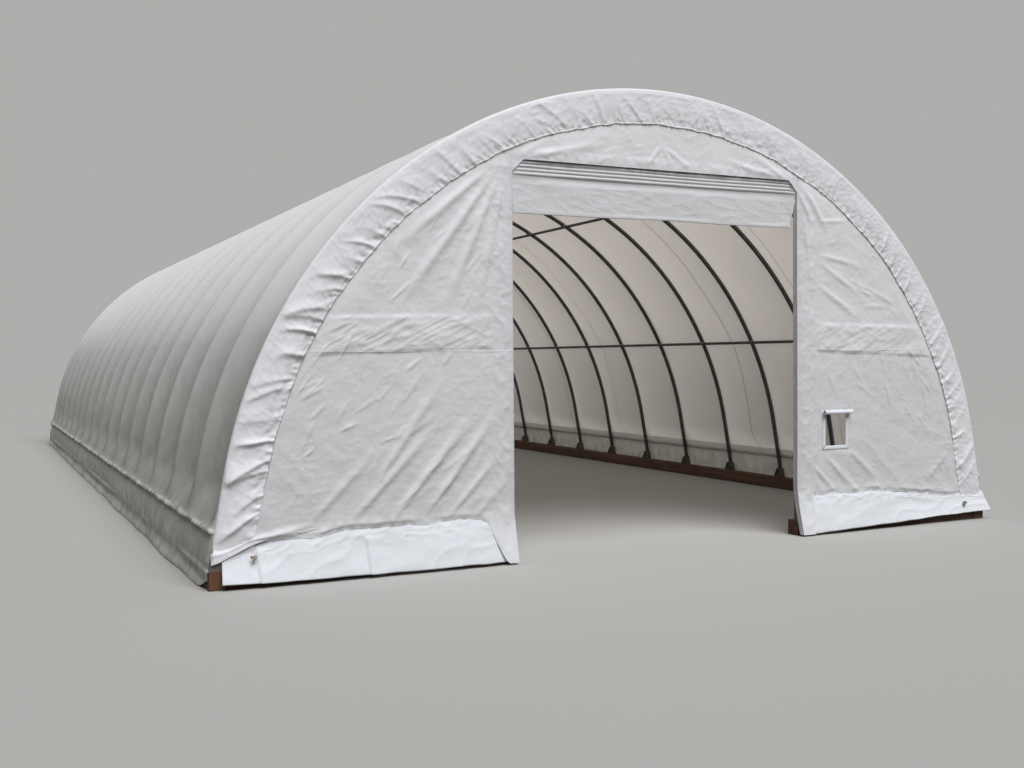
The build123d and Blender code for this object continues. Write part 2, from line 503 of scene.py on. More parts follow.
class Pattern(Board):
    """A Geometry Nodes tree with named sizes, run once and turned into a plain mesh."""

    def __init__(self, name: str) -> None:
        """Start a tree with its geometry input and output.

        Args:
            name: name of the tree and of its piece.
        """
        super().__init__(bpy.data.node_groups.new(name, "GeometryNodeTree"))
        self.name = name
        self.sizes: dict[str, object] = {}
        for way in ("INPUT", "OUTPUT"):
            self.tree.interface.new_socket("Geometry", in_out=way, socket_type="NodeSocketGeometry")
        self.entry = self.tree.nodes.new("NodeGroupInput")
        self.exit = self.tree.nodes.new("NodeGroupOutput")

    def size(self, name: str, value: float) -> Socket:
        """Add a named input.

        Args:
            name: its name.
            value: what it is set to.

        Returns:
            The socket that gives it to the tree.
        """
        made = self.tree.interface.new_socket(name, in_out="INPUT", socket_type="NodeSocketFloat")
        self.sizes[made.identifier] = value
        return self.entry.outputs[name]

    def shape(
        self, kind: str, inputs: dict[str | int, object], settings: dict[str, object] | None = None
    ) -> Socket:
        """Add a node that gives a shape."""
        return self.node(f"GeometryNode{kind}", settings, inputs).outputs[0]

    def tube(self, line: object, radius: object, sides: int) -> Socket:
        """Sweep a round section along a curve."""
        ring = self.shape("CurvePrimitiveCircle", {"Resolution": sides, "Radius": radius})
        return self.shape("CurveToMesh", {0: line, "Profile Curve": ring, "Fill Caps": True})

    def loop(self, radius: object, sides: int, width: object, gauge: float) -> Socket:
        """Closed loop of flat strap.

        Args:
            radius: radius of the loop.
            sides: straight runs round it.
            width: width of the strap.
            gauge: its thickness.

        Returns:
            The loop, flat on the ground.
        """
        line = self.shape("CurvePrimitiveCircle", {"Resolution": sides, "Radius": radius})
        strap = self.shape("CurvePrimitiveQuadrilateral", {"Width": gauge, "Height": width})
        return self.shape("CurveToMesh", {0: line, 1: strap})

    def rod(self, radius: object, depth: float, sides: int = 6) -> Socket:
        """Upright rod, or the head of a bolt."""
        return self.shape("MeshCylinder", {"Vertices": sides, "Radius": radius, "Depth": depth})

    def joined(self, *shapes: Socket) -> Socket:
        """Join several shapes.

        Args:
            shapes: the shapes.

        Returns:
            All of them as one.
        """
        join = self.node("GeometryNodeJoinGeometry")
        for shape in shapes:
            self.tree.links.new(shape, join.inputs[0])
        return join.outputs[0]

    def moved(self, shape: object, by: object, turn: Triple = (0, 0, 0)) -> Socket:
        """Move and turn a shape."""
        return self.shape("Transform", {"Geometry": shape, "Translation": by, "Rotation": turn})

    def make(
        self,
        shape: Socket,
        finish: Material,
        points: list[Triple],
        turns: list[float],
        axis: str = "Z",
    ) -> Piece:
        """Put a shape on every point, run the tree and keep its mesh.

        Args:
            shape: the shape that repeats.
            finish: its material.
            points: its places.
            turns: its turn at each of them.
            axis: the axis of those turns.

        Returns:
            A plain mesh object.
        """
        turn = self.shape("InputNamedAttribute", {"Name": "turn"}, {"data_type": "FLOAT"})
        angles = self.wire("ShaderNodeCombineXYZ", None, {axis: turn})
        rotation = self.wire("FunctionNodeEulerToRotation", None, {0: angles})
        inputs = {"Points": self.entry.outputs[0], "Instance": shape, "Rotation": rotation}
        real = self.shape("RealizeInstances", {0: self.shape("InstanceOnPoints", inputs)})
        smooth = self.shape("SetShadeSmooth", {0: real})
        done = self.shape("SetMaterial", {"Geometry": smooth, "Material": finish})
        self.tree.links.new(done, self.exit.inputs[0])
        seed = bpy.data.meshes.new(self.name)
        seed.from_pydata(np.asarray(points, float).tolist(), [], [])
        marks = seed.attributes.new("turn", "FLOAT", "POINT")
        marks.data.foreach_set("value", np.asarray(turns, float))
        piece = add_object(self.name, seed)
        run = piece.modifiers.new("pattern", "NODES")
        run.node_group = self.tree
        for identifier, value in self.sizes.items():
            run[identifier] = value
        graph = bpy.context.evaluated_depsgraph_get()
        mesh = bpy.data.meshes.new_from_object(piece.evaluated_get(graph), depsgraph=graph)
        piece.modifiers.remove(run)
        piece.data = mesh
        return piece


# Finishes


@dataclass(frozen=True)
class Finish:
    """Base of every finish: names the material and its plain shader values."""

    name: str
    colour: Colour
    roughness: float = 0.5
    metallic: float = 0.0
    gloss: float = 0.5

    def tinted(self, share: float) -> Colour:
        """The finish's colour, darker or lighter by a share."""
        return tuple(share * part for part in self.colour)


class Surface(Board):
    """Board of one new material."""

    def __init__(self, finish: Finish) -> None:
        """Start the material with the finish's plain values.

        Args:
            finish: what the material is made from.
        """
        self.material = bpy.data.materials.new(finish.name)
        self.material.use_nodes = True
        super().__init__(self.material.node_tree)
        self.shader = self.tree.nodes["Principled BSDF"]
        self.place = self.node("ShaderNodeTexCoord").outputs["Object"]
        for name, value in (
            ("Base Color", (*finish.colour, 1.0)), ("Roughness", finish.roughness),
            ("Metallic", finish.metallic), ("Specular IOR Level", finish.gloss),
        ):
            self.shader.inputs[name].default_value = value

    def axes(self) -> tuple[Wire, ...]:
        """X, Y and Z on the object."""
        parts = self.node("ShaderNodeSeparateXYZ", None, {0: self.place})
        return tuple(Wire(self, part) for part in parts.outputs)

    def noise(self, scale: float, detail: float = 3.0, stretch: Point = (1.0, 1.0)) -> Wire:
        """Soft random pattern.

        Args:
            scale: patches in a metre.
            detail: layers of finer patches.
            stretch: how much closer the patches lie along X and Y.

        Returns:
            A number from 0 to 1.
        """
        sizes = (scale * stretch[0], scale * stretch[1], scale)
        spread = self.node("ShaderNodeMapping", None, {0: self.place, 3: sizes})
        inputs = {"Vector": spread.outputs[0], "Scale": 1.0, "Detail": detail}
        return self.wire("ShaderNodeTexNoise", None, inputs)

    def cells(self, scale: float) -> Wire:
        """Small flat facets as of crushed cloth.

        Args:
            scale: facets in a metre.

        Returns:
            A number from 0 to about 1.
        """
        inputs = {"Vector": self.place, "Scale": scale * 0.6, "Detail": 2.0}
        bent = self.node("ShaderNodeTexNoise", None, inputs).outputs[1]
        inputs = {0: bent, "Scale": 0.9 / scale}
        push = self.node("ShaderNodeVectorMath", {"operation": "SCALE"}, inputs)
        inputs = {0: self.place, 1: push.outputs[0]}
        moved = self.node("ShaderNodeVectorMath", {"operation": "ADD"}, inputs)
        inputs = {"Vector": moved.outputs[0], "Scale": scale}
        return self.wire("ShaderNodeTexVoronoi", {"feature": "F1"}, inputs)

    def dress(self, shade: object, relief: Wire, rough: Wire | None = None) -> Material:
        """Link what varies over the surface.

        Args:
            shade: its colour.
            relief: its relief in metres.
            rough: its roughness, where that varies.

        Returns:
            The material.
        """
        self.feed(self.shader.inputs["Base Color"], shade)
        if rough is not None:
            self.feed(self.shader.inputs["Roughness"], rough)
        inputs = {"Strength": 1.0, "Distance": 1.0, "Height": relief}
        bump = self.node("ShaderNodeBump", None, inputs)
        self.feed(self.shader.inputs["Normal"], bump.outputs[0])
        return self.material


@dataclass(frozen=True)
class ClothFinish(Finish):
    """White coated woven cloth, creased from its packing, with dirt and painted shade that darken
    it towards the bottom.

    Attributes:
        dirt_and_shade_colour: colour of the dirt and painted shade that darken the cloth towards
            the bottom, dirt_and_shade_height: how high they reach, and dirt_and_shade_share: how
            much at the ground.
        dirt_and_shade_even: 0 where they lie in streaks, 1 where they are even.
        dirt_and_shade_right: their share on the building's right side, below 1 where the left side
            takes more painted shade.
        crinkle: size of the fine creases, 1 as on the end walls.
        glow: share of the light that passes through, and through: its colour.
        seam_pitch: metres between the welded seams, 0 for none, and seam_start: Y of one.
        crest_highlight_height: height of a crumpled crest with a painted highlight, free of the
            dirt and painted shade, 0 for none.
        foot: colour of the cloth where it meets the ground, or none.
        band_shadow_radius: radius of the brownish painted shadow line under the band's drawn edge,
            0 for none.
        creases: upright packing creases, by their X, and level_creases: level ones, by their Z.
    """

    roughness: float = 0.45
    gloss: float = 0.12
    dirt_and_shade_colour: Colour = (0.21, 0.215, 0.178)
    dirt_and_shade_height: float = 0.9
    dirt_and_shade_share: float = 0.25
    dirt_and_shade_even: float = 0.0
    dirt_and_shade_right: float = 1.0
    crinkle: float = 1.0
    glow: float = 0.22
    through: Colour = (0.80, 0.745, 0.68)
    seam_pitch: float = 0.0
    seam_start: float = 0.0
    crest_highlight_height: float = 0.0
    foot: tuple[float, ...] = ()
    band_shadow_radius: float = 0.0
    creases: tuple[float, ...] = ()
    level_creases: tuple[float, ...] = ()

    def material(self) -> Material:
        """Build the cloth.

        Returns:
            Its material.
        """
        surface = Surface(self)
        x, y, z = surface.axes()
        broad, fine = surface.noise(0.9, 4.0), surface.noise(42.0, 2.0)
        cells = surface.cells(7.0) * 0.0056 + surface.cells(19.0) * 0.0026
        relief = (cells * (broad * 0.9 + 0.35) + fine * 0.00022) * self.crinkle
        shade = surface.blend((broad - 0.35) * 0.35, self.colour, self.tinted(0.93))
        shade = surface.blend((fine - 0.5) * 0.22 + 0.06, shade, self.tinted(0.86))
        shade, grime_and_shade = self._dirtied_and_shaded(surface, shade, x, z)
        # Painted shadow: a brownish line on the wall under the band's drawn edge.
        if self.band_shadow_radius:
            shade = surface.blend(self._band_shadow_share(x, z, broad), shade, (0.36, 0.31, 0.26))
        for lines, axis in ((self.creases, x), (self.level_creases, z)):
            for line in lines:
                crease = abs(axis - line + (broad - 0.5) * 0.05).rise(0.014, 0.0)
                relief = relief + crease * broad.rise(0.30, 0.70) * 0.0022
        seam = None
        if self.seam_pitch:
            start = 200 * self.seam_pitch - self.seam_start
            seam = (y + start).repeated(self.seam_pitch).rise(0.017, 0.012)
            shade = surface.blend(seam * 0.30, shade, self.tinted(0.5))
            relief = relief + seam * 0.0012
        material = surface.dress(shade, relief, fine * 0.12 + (self.roughness - 0.05))
        self._let_light_through(surface, seam, grime_and_shade)
        return material

    def _dirtied_and_shaded(self, surface: Surface, shade: object, x: Wire, z: Wire) -> tuple[Socket, Wire]:
        """Lay the dirt and painted shade on the cloth, darker towards the bottom.

        Args:
            surface: the material's board.
            shade: colour of the clean cloth.
            x: places across the building.
            z: heights.

        Returns:
            The darkened colour, and how much dirt and painted shade lie on the cloth.
        """
        # Dirt and painted shade: the cloth is darker towards the bottom, and darker on the left
        # side than on the right.
        streak = surface.noise(5.0, 4.0).rise(0.25, 0.85) * (1 - self.dirt_and_shade_even) + self.dirt_and_shade_even
        grime_and_shade = z.rise(self.dirt_and_shade_height, 0.0) * streak * self.dirt_and_shade_share
        if self.dirt_and_shade_right < 1:
            grime_and_shade = grime_and_shade * (x.rise(1.5, -1.5) * (1 - self.dirt_and_shade_right) + self.dirt_and_shade_right)
        if self.crest_highlight_height:
            # Painted highlight: a near-white line along the pocket's crest, where light falls on
            # its top, kept free of the dirt and painted shade.
            crest_highlight = abs(z - self.crest_highlight_height).rise(0.030, 0.006)
            crest_highlight = crest_highlight * surface.noise(16.0).rise(0.36, 0.56)
            grime_and_shade = grime_and_shade * (1 - crest_highlight * 0.9)
            shade = surface.blend(crest_highlight * 0.8, shade, (0.92, 0.93, 0.94))
        shade = surface.blend(grime_and_shade, shade, self.dirt_and_shade_colour)
        if self.foot:
            shade = surface.blend(z.rise(0.47, 0.30), shade, self.foot)
        return shade, grime_and_shade

    def _band_shadow_share(self, x: Wire, z: Wire, broad: Wire) -> Wire:
        """Brownish painted shadow line under the band's drawn edge.

        Args:
            x: places across the building.
            z: heights.
            broad: pattern that makes the line waver.

        Returns:
            The line's share of the colour.
        """
        above = z - HALL.centre_height
        away = abs((x * x + above * above) ** 0.5 - self.band_shadow_radius + (broad - 0.5) * 0.010)
        return away.rise(0.016, 0.003) * z.rise(0.75, 1.0) * 0.42

    def _let_light_through(self, surface: Surface, seam: Wire | None, grime_and_shade: Wire) -> None:
        """Mix in a share of light from the far side, less where the cloth is double and where dirt
        and painted shade darken it.

        Args:
            surface: the material's board.
            seam: where the cloth is double, if anywhere.
            grime_and_shade: how much dirt and painted shade lie on it.
        """
        far = surface.node("ShaderNodeBsdfTranslucent", None, {"Color": (*self.through, 1.0)})
        share = (1 - grime_and_shade) * self.glow
        if seam is not None:
            share = share * (1 - seam * 0.45)
        inputs = {0: share, 1: surface.shader.outputs[0], 2: far.outputs[0]}
        mix = surface.node("ShaderNodeMixShader", None, inputs)
        surface.feed(surface.tree.nodes["Material Output"].inputs[0], mix.outputs[0])


@dataclass(frozen=True)
class SteelFinish(Finish):
    """Dull zinc-coated pipe and plate, darkened, with rust where asked."""

    metallic: float = 0.35
    rust: float = 0.0

    def material(self) -> Material:
        """Build the steel.

        Returns:
            Its material.
        """
        surface = Surface(self)
        patches, fine = surface.noise(9.0, 4.0), surface.noise(60.0, 3.0)
        shade = surface.blend(patches.rise(0.3, 0.75), self.colour, self.tinted(1.5))
        shade = surface.blend(fine.rise(0.45, 0.7) * 0.35, shade, self.tinted(0.6))
        if self.rust:
            shade = surface.blend(patches.rise(0.5, 0.68) * self.rust, shade, (0.17, 0.062, 0.025))
        return surface.dress(shade, fine * 0.0004, fine * 0.25 + (self.roughness - 0.1))


@dataclass(frozen=True)
class TimberFinish(Finish):
    """Rough sawn stained timber, with its grain along one axis."""

    roughness: float = 0.8
    along_y: bool = True

    def material(self) -> Material:
        """Build the timber.

        Returns:
            Its material.
        """
        surface = Surface(self)
        z = surface.axes()[2]
        stretch = (1.0, 0.035) if self.along_y else (0.035, 1.0)
        grain, wide = surface.noise(70.0, 5.0, stretch), surface.noise(14.0, 3.0, stretch)
        shade = surface.blend(grain.rise(0.3, 0.75), self.colour, self.tinted(0.45))
        shade = surface.blend(wide.rise(0.35, 0.8) * 0.6, shade, self.tinted(1.35))
        damp = z.rise(0.10, 0.0) * wide.rise(0.2, 0.7) * 0.6
        shade = surface.blend(damp, shade, (0.045, 0.030, 0.022))
        return surface.dress(shade, grain * 0.0022 + wide * 0.0012)


@dataclass(frozen=True)
class EndGrainFinish(Finish):
    """Sawn end of a timber: growth rings round the heart of the log."""

    roughness: float = 0.85
    heart: Point = (4.50, 0.06)
    ring_pitch: float = 0.011

    def material(self) -> Material:
        """Build the end grain.

        Returns:
            Its material.
        """
        surface = Surface(self)
        x, _, z = surface.axes()
        wave = surface.noise(9.0, 3.0)
        away_x, away_z = abs(x) - self.heart[0], z - self.heart[1]
        reach = (away_x * away_x + away_z * away_z) ** 0.5 + wave * 0.012
        ring = reach.repeated(self.ring_pitch) / (self.ring_pitch / 2)
        shade = surface.blend(ring.rise(0.2, 0.9), self.colour, self.tinted(0.55))
        shade = surface.blend(wave.rise(0.45, 0.8) * 0.5, shade, (0.06, 0.035, 0.022))
        return surface.dress(shade, ring * 0.0006 + wave * 0.002)


@dataclass(frozen=True)
class RopeFinish(Finish):
    """Twisted draw rope or webbing, a little weathered."""

    roughness: float = 0.85

    def material(self) -> Material:
        """Build the rope.

        Returns:
            Its material.
        """
        surface = Surface(self)
        fine = surface.noise(260.0, 2.0)
        shade = surface.blend(fine.rise(0.35, 0.7), self.colour, self.tinted(0.45))
        return surface.dress(shade, fine * 0.002)


class Finishes:
    """Every finish of the building, made once."""

    def __init__(self) -> None:
        """Build the materials."""
        white, bluish, stained = (0.745, 0.757, 0.795), (0.765, 0.795, 0.845), (0.135, 0.072, 0.045)
        # The cover is darker towards the bottom and on the left side: dirt and painted shade.
        self.cover = ClothFinish(
            "cover_cloth", (0.91, 0.93, 0.95), roughness=0.50, gloss=0.04, crinkle=0.45, glow=0.29,
            through=(1.0, 0.93, 0.85), dirt_and_shade_share=0.92, dirt_and_shade_height=3.9, dirt_and_shade_even=0.82,
            # The pocket crest gets a painted highlight.
            dirt_and_shade_right=0.20, seam_pitch=1.94, seam_start=-7.60, crest_highlight_height=0.512,
        ).material()
        self.band = ClothFinish(
            "band_cloth", (0.82, 0.832, 0.873), crinkle=0.55, glow=0.16, dirt_and_shade_share=0.12
        ).material()
        # The wall is darker towards the bottom: painted shade.
        self.wall = ClothFinish(
            "wall_cloth", (0.86, 0.875, 0.92), crinkle=0.9, dirt_and_shade_share=0.29, dirt_and_shade_height=4.2,
            dirt_and_shade_even=0.85, creases=(-3.72, -3.24, 3.23), level_creases=(2.045,),
            # Brownish painted shadow line under the band's drawn edge.
            foot=(0.75, 0.768, 0.81), band_shadow_radius=4.181,
        ).material()
        self.rear = ClothFinish("rear_wall_cloth", white, level_creases=(2.06,)).material()
        self.flap = ClothFinish(
            "flap_cloth", bluish, crinkle=0.6, glow=0.12, dirt_and_shade_share=0.3, dirt_and_shade_height=0.12
        ).material()
        self.side_flap = ClothFinish(
            "side_flap_cloth", (0.74, 0.75, 0.71), crinkle=0.35, glow=0.2, dirt_and_shade_share=0.80,
            dirt_and_shade_height=0.75,
        ).material()
        self.curtain = ClothFinish("curtain_cloth", white, crinkle=0.8, dirt_and_shade_share=0.0).material()
        self.hoop = SteelFinish("hoop_pipe", (0.075, 0.075, 0.08)).material()
        self.purlin = SteelFinish("purlin_pipe", (0.085, 0.085, 0.09)).material()
        self.foot = SteelFinish("foot_steel", (0.13, 0.12, 0.11), rust=0.4).material()
        self.bolt = SteelFinish(
            "bolt_steel", (0.22, 0.21, 0.20), roughness=0.4, metallic=0.8, rust=0.4
        ).material()
        self.timber = TimberFinish("sill_timber", stained).material()
        self.cross_timber = TimberFinish("cross_timber", stained, along_y=False).material()
        self.end_grain = EndGrainFinish("timber_end", (0.150, 0.066, 0.034)).material()
        self.rope = RopeFinish("draw_rope", (0.50, 0.42, 0.32)).material()
        self.webbing = RopeFinish("webbing", (0.62, 0.62, 0.60)).material()


# Sub-assemblies


@dataclass(frozen=True)
class Cut:
    """How a sheet was cut before it was hung, what holds it, and the area of its cloth."""

    flat: Point
    hold: Hold
    rests_on: tuple[str, ...]
    area: float | None = None


@dataclass
class Assembly:
    """Base of the sub-assemblies: settles finished pieces in the model."""

    finishes: Finishes

    def settle(
        self,
        piece: Piece,
        slot: str,
        finish: Material | None = None,
        nodes: tuple[str, ...] = (),
        cut: Cut | None = None,
        with_pieces: tuple[Piece, ...] = (),
    ) -> None:
        """Dress a piece and give it its place in the model.

        Args:
            piece: the finished object.
            slot: name of a material slot; not used.
            finish: material, unless the piece has its own.
            nodes: solids that the piece stands for.
            cut: flat size of a sheet; not used.
            with_pieces: separate pieces on a sheet; not used.
        """
        if finish is not None:
            self.paint(piece, finish)
        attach(piece, "root")
        if nodes:
            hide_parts(*nodes)
        LOG.info("%s: %d faces", piece.name, len(piece.data.polygons))

    @staticmethod
    def paint(piece: Piece, finish: Material) -> None:
        """Give a piece one material."""
        piece.data.materials.clear()
        piece.data.materials.append(finish)

    @staticmethod
    def thicken(piece: Piece, thickness: float) -> None:
        """Give a sheet a real thickness, to its inner side."""
        wall = piece.modifiers.new("thickness", "SOLIDIFY")
        wall.thickness, wall.offset = thickness, -1.0


@dataclass
class Frame(Assembly):
    """Hoops, purlins, feet and their fittings.

    Attributes:
        purlin_turns: places of the purlins, in degrees from the crown.
        plate_screw: distance of the plate's screw from the hoop.
    """

    hoop_sides: int = 14
    arc_steps: int = 72
    clamp_width: float = 0.026
    clamp_gauge: float = 0.003
    purlin: float = 0.042
    purlin_gap: float = 0.0003
    purlin_turns: tuple[float, ...] = (-63.03, -29.09, 0.0, 29.09, 63.03)
    bolt_height: float = 0.068
    ear_reach: float = 0.046
    plate_screw: float = 0.062

    def build(self) -> None:
        """Make and settle the whole frame."""
        hoops = tuple(f"hoop_{number:02d}" for number in range(1, HALL.bays + 2))
        self.settle(self._hoops(), "hoop_pipe", nodes=hoops)
        self.settle(self._clamps(), "foot_steel")
        self.settle(self._foot_bolts(), "foot_steel")
        pipes = ("left_purlins", "right_purlins", "ridge_purlin", "door_frame", "rear_posts")
        for name in pipes:
            self.paint(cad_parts[name], self.finishes.purlin)
        for name in ("left_feet", "right_feet"):
            self.paint(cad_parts[name], self.finishes.foot)

    def _hoops(self) -> Piece:
        """Bent round pipes, one for each point along the building.

        Returns:
            All the hoops in one piece.
        """
        tree = Pattern("hoop_frame")
        radius = tree.size("Hoop radius", HALL.radius)
        half = tree.size("Half angle", HALL.half_angle)
        pipe = tree.size("Pipe radius", HALL.pipe / 2)
        leg = tree.size("Leg length", HALL.length_at(HALL.sill_height + HALL.plate) - HALL.spring)
        angle = Wire(tree, half)
        sizes = {"Resolution": self.arc_steps, "Radius": radius}
        sizes |= {"Start Angle": math.pi / 2 - angle, "Sweep Angle": angle * 2.0}
        arc = tree.shape("CurveArc", sizes, {"mode": "RADIUS"})
        legs = [self._leg(tree, radius, half, leg, side) for side in Flank]
        shapes = [tree.tube(line, pipe, self.hoop_sides) for line in (arc, *legs)]
        whole = tree.moved(tree.joined(*shapes), (0, 0, HALL.centre_height), (math.pi / 2, 0, 0))
        points = [(0.0, y, 0.0) for y in HALL.hoops]
        return tree.make(whole, self.finishes.hoop, points, [0.0] * len(points), "Y")

    @staticmethod
    def _leg(tree: Pattern, radius: object, half: object, leg: object, side: Flank) -> Socket:
        """Straight leg from the end of the arc, drawn flat.

        Args:
            tree: the hoops' tree.
            radius: radius of the hoop.
            half: half the angle of its round part.
            leg: length of the leg.
            side: which leg.

        Returns:
            The leg's line.
        """
        sine, cosine = (
            tree.wire("ShaderNodeMath", {"operation": way}, {0: half}) for way in ("SINE", "COSINE")
        )
        sign = float(side.value)
        top_x, top_y = sine * radius * sign, cosine * radius
        low_x, low_y = top_x + cosine * leg * sign, top_y - sine * leg
        ends = ((top_x, top_y), (low_x, low_y))
        places = (tree.wire("ShaderNodeCombineXYZ", None, dict(enumerate(end))) for end in ends)
        return tree.shape("CurvePrimitiveLine", dict(enumerate(places)))

    def _clamps(self) -> Piece:
        """Strap clamps where the purlins cross the hoops.

        Returns:
            All the clamps in one piece.
        """
        tree = Pattern("purlin_clamps")
        ring = tree.size("Hoop ring", HALL.pipe / 2 + 0.0004)
        small = tree.size("Purlin ring", self.purlin / 2 + 0.0015)
        width = tree.size("Strap width", self.clamp_width)
        drop = (HALL.pipe + self.purlin) / 2 + self.purlin_gap
        across, along = (0, math.pi / 2, 0), (math.pi / 2, 0, 0)
        shapes = [
            tree.moved(tree.loop(radius, 14, width, self.clamp_gauge), (0, 0, -low), turn)
            for radius, turn, low in ((ring, across, 0.0), (small, along, drop))
        ]
        shapes.append(tree.moved(tree.rod(0.009, 0.022), (0.0, 0.040, -0.026), along))
        turns = [math.radians(degrees) for degrees in self.purlin_turns]
        places = [HALL.place(turn * HALL.radius, 0.0) for turn in turns]
        points = [(float(x), y, float(z)) for y in HALL.hoops for x, z in places]
        turns = turns * len(HALL.hoops)
        return tree.make(tree.joined(*shapes), self.finishes.bolt, points, turns, "Y")

    def _foot_bolts(self) -> Piece:
        """Bolts through the ears of each foot and the screw that holds its plate.

        Returns:
            All of them in one piece.
        """
        tree = Pattern("foot_bolts")
        rod = tree.size("Rod radius", 0.006)
        head = tree.size("Head radius", 0.0115)
        along = (math.pi / 2, 0, 0)
        parts = (
            (tree.rod(rod, 0.098, 8), 0.0), (tree.rod(head, 0.008), -self.ear_reach),
            (tree.rod(head, 0.009), self.ear_reach),
        )
        shapes = [tree.moved(part, (0, y, 0), along) for part, y in parts]
        low = (-self.plate_screw, 0, -self.bolt_height + 0.005)
        shapes.append(tree.moved(tree.rod(head, 0.010), low))
        height = HALL.sill_height + HALL.plate + self.bolt_height
        return tree.make(tree.joined(*shapes), self.finishes.bolt, *both_sides(HALL.hoops, height))


def both_sides(
    places: Array, height: float, shift: float = 0.0
) -> tuple[list[Triple], list[float]]:
    """Points on the legs of both sides, for what repeats along the building.

    Args:
        places: places along Y.
        height: height of every point.
        shift: distance outward from the legs' line.

    Returns:
        The points, and the turn about Z that faces each outward.
    """
    reach = HALL.leg_x(height, shift)
    points = [(side.value * reach, y, height) for side in Flank for y in places]
    turns = [0.0 if side is Flank.RIGHT else math.pi for side in Flank for _ in places]
    return points, turns


@dataclass
class Base(Assembly):
    """Square timbers under the hoops and across the ends, with bevelled edges."""

    edge: float = 0.005
    end_gap: float = 0.003
    timbers: int = 4

    def build(self) -> None:
        """Make and settle the timbers of each side and end."""
        for name in ("left_sill", "right_sill"):
            low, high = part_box(name)
            cuts = np.linspace(low.y, high.y, self.timbers + 1)
            boxes = [((low.x, a, low.z), (high.x, b, high.z)) for a, b in zip(cuts[:-1], cuts[1:])]
            self._settle_timbers(name, boxes, 1)
        low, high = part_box("front_sill")
        boxes = [
            ((a, low.y, low.z), (b, high.y, high.z))
            for a, b in ((low.x, HALL.door_left), (HALL.door_right, high.x))
        ]
        self._settle_timbers("front_sill", boxes, 0)
        self._settle_timbers("rear_sill", [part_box("rear_sill")], 0)

    def _settle_timbers(self, name: str, boxes: list[tuple], grain_axis: int) -> None:
        """Build the timbers of one node.

        Args:
            name: the node that they stand for.
            boxes: lowest and highest corner of each timber.
            grain_axis: 0 where they run along X, 1 along Y.
        """
        shape = bmesh.new()
        for low, high in boxes:
            low, high = np.array(low), np.array(high)
            size = high - low
            size[grain_axis] -= self.end_gap
            place = Matrix.Translation((low + high) / 2) @ Matrix.Diagonal((*size, 1.0))
            made = bmesh.ops.create_cube(shape, size=1.0, matrix=place)
            edges = {edge for corner in made["verts"] for edge in corner.link_edges}
            bmesh.ops.bevel(
                shape, geom=list(edges), offset=self.edge, segments=2, affect="EDGES", profile=0.6
            )
        for face in shape.faces:
            face.material_index = int(abs(face.normal[grain_axis]) > 0.9)
            face.smooth = False
        mesh = bpy.data.meshes.new(f"{name}_timber")
        shape.to_mesh(mesh)
        shape.free()
        mesh.materials.append(self.finishes.timber if grain_axis else self.finishes.cross_timber)
        mesh.materials.append(self.finishes.end_grain)
        self.settle(add_object(mesh.name, mesh), "sill_timber", nodes=(name,))


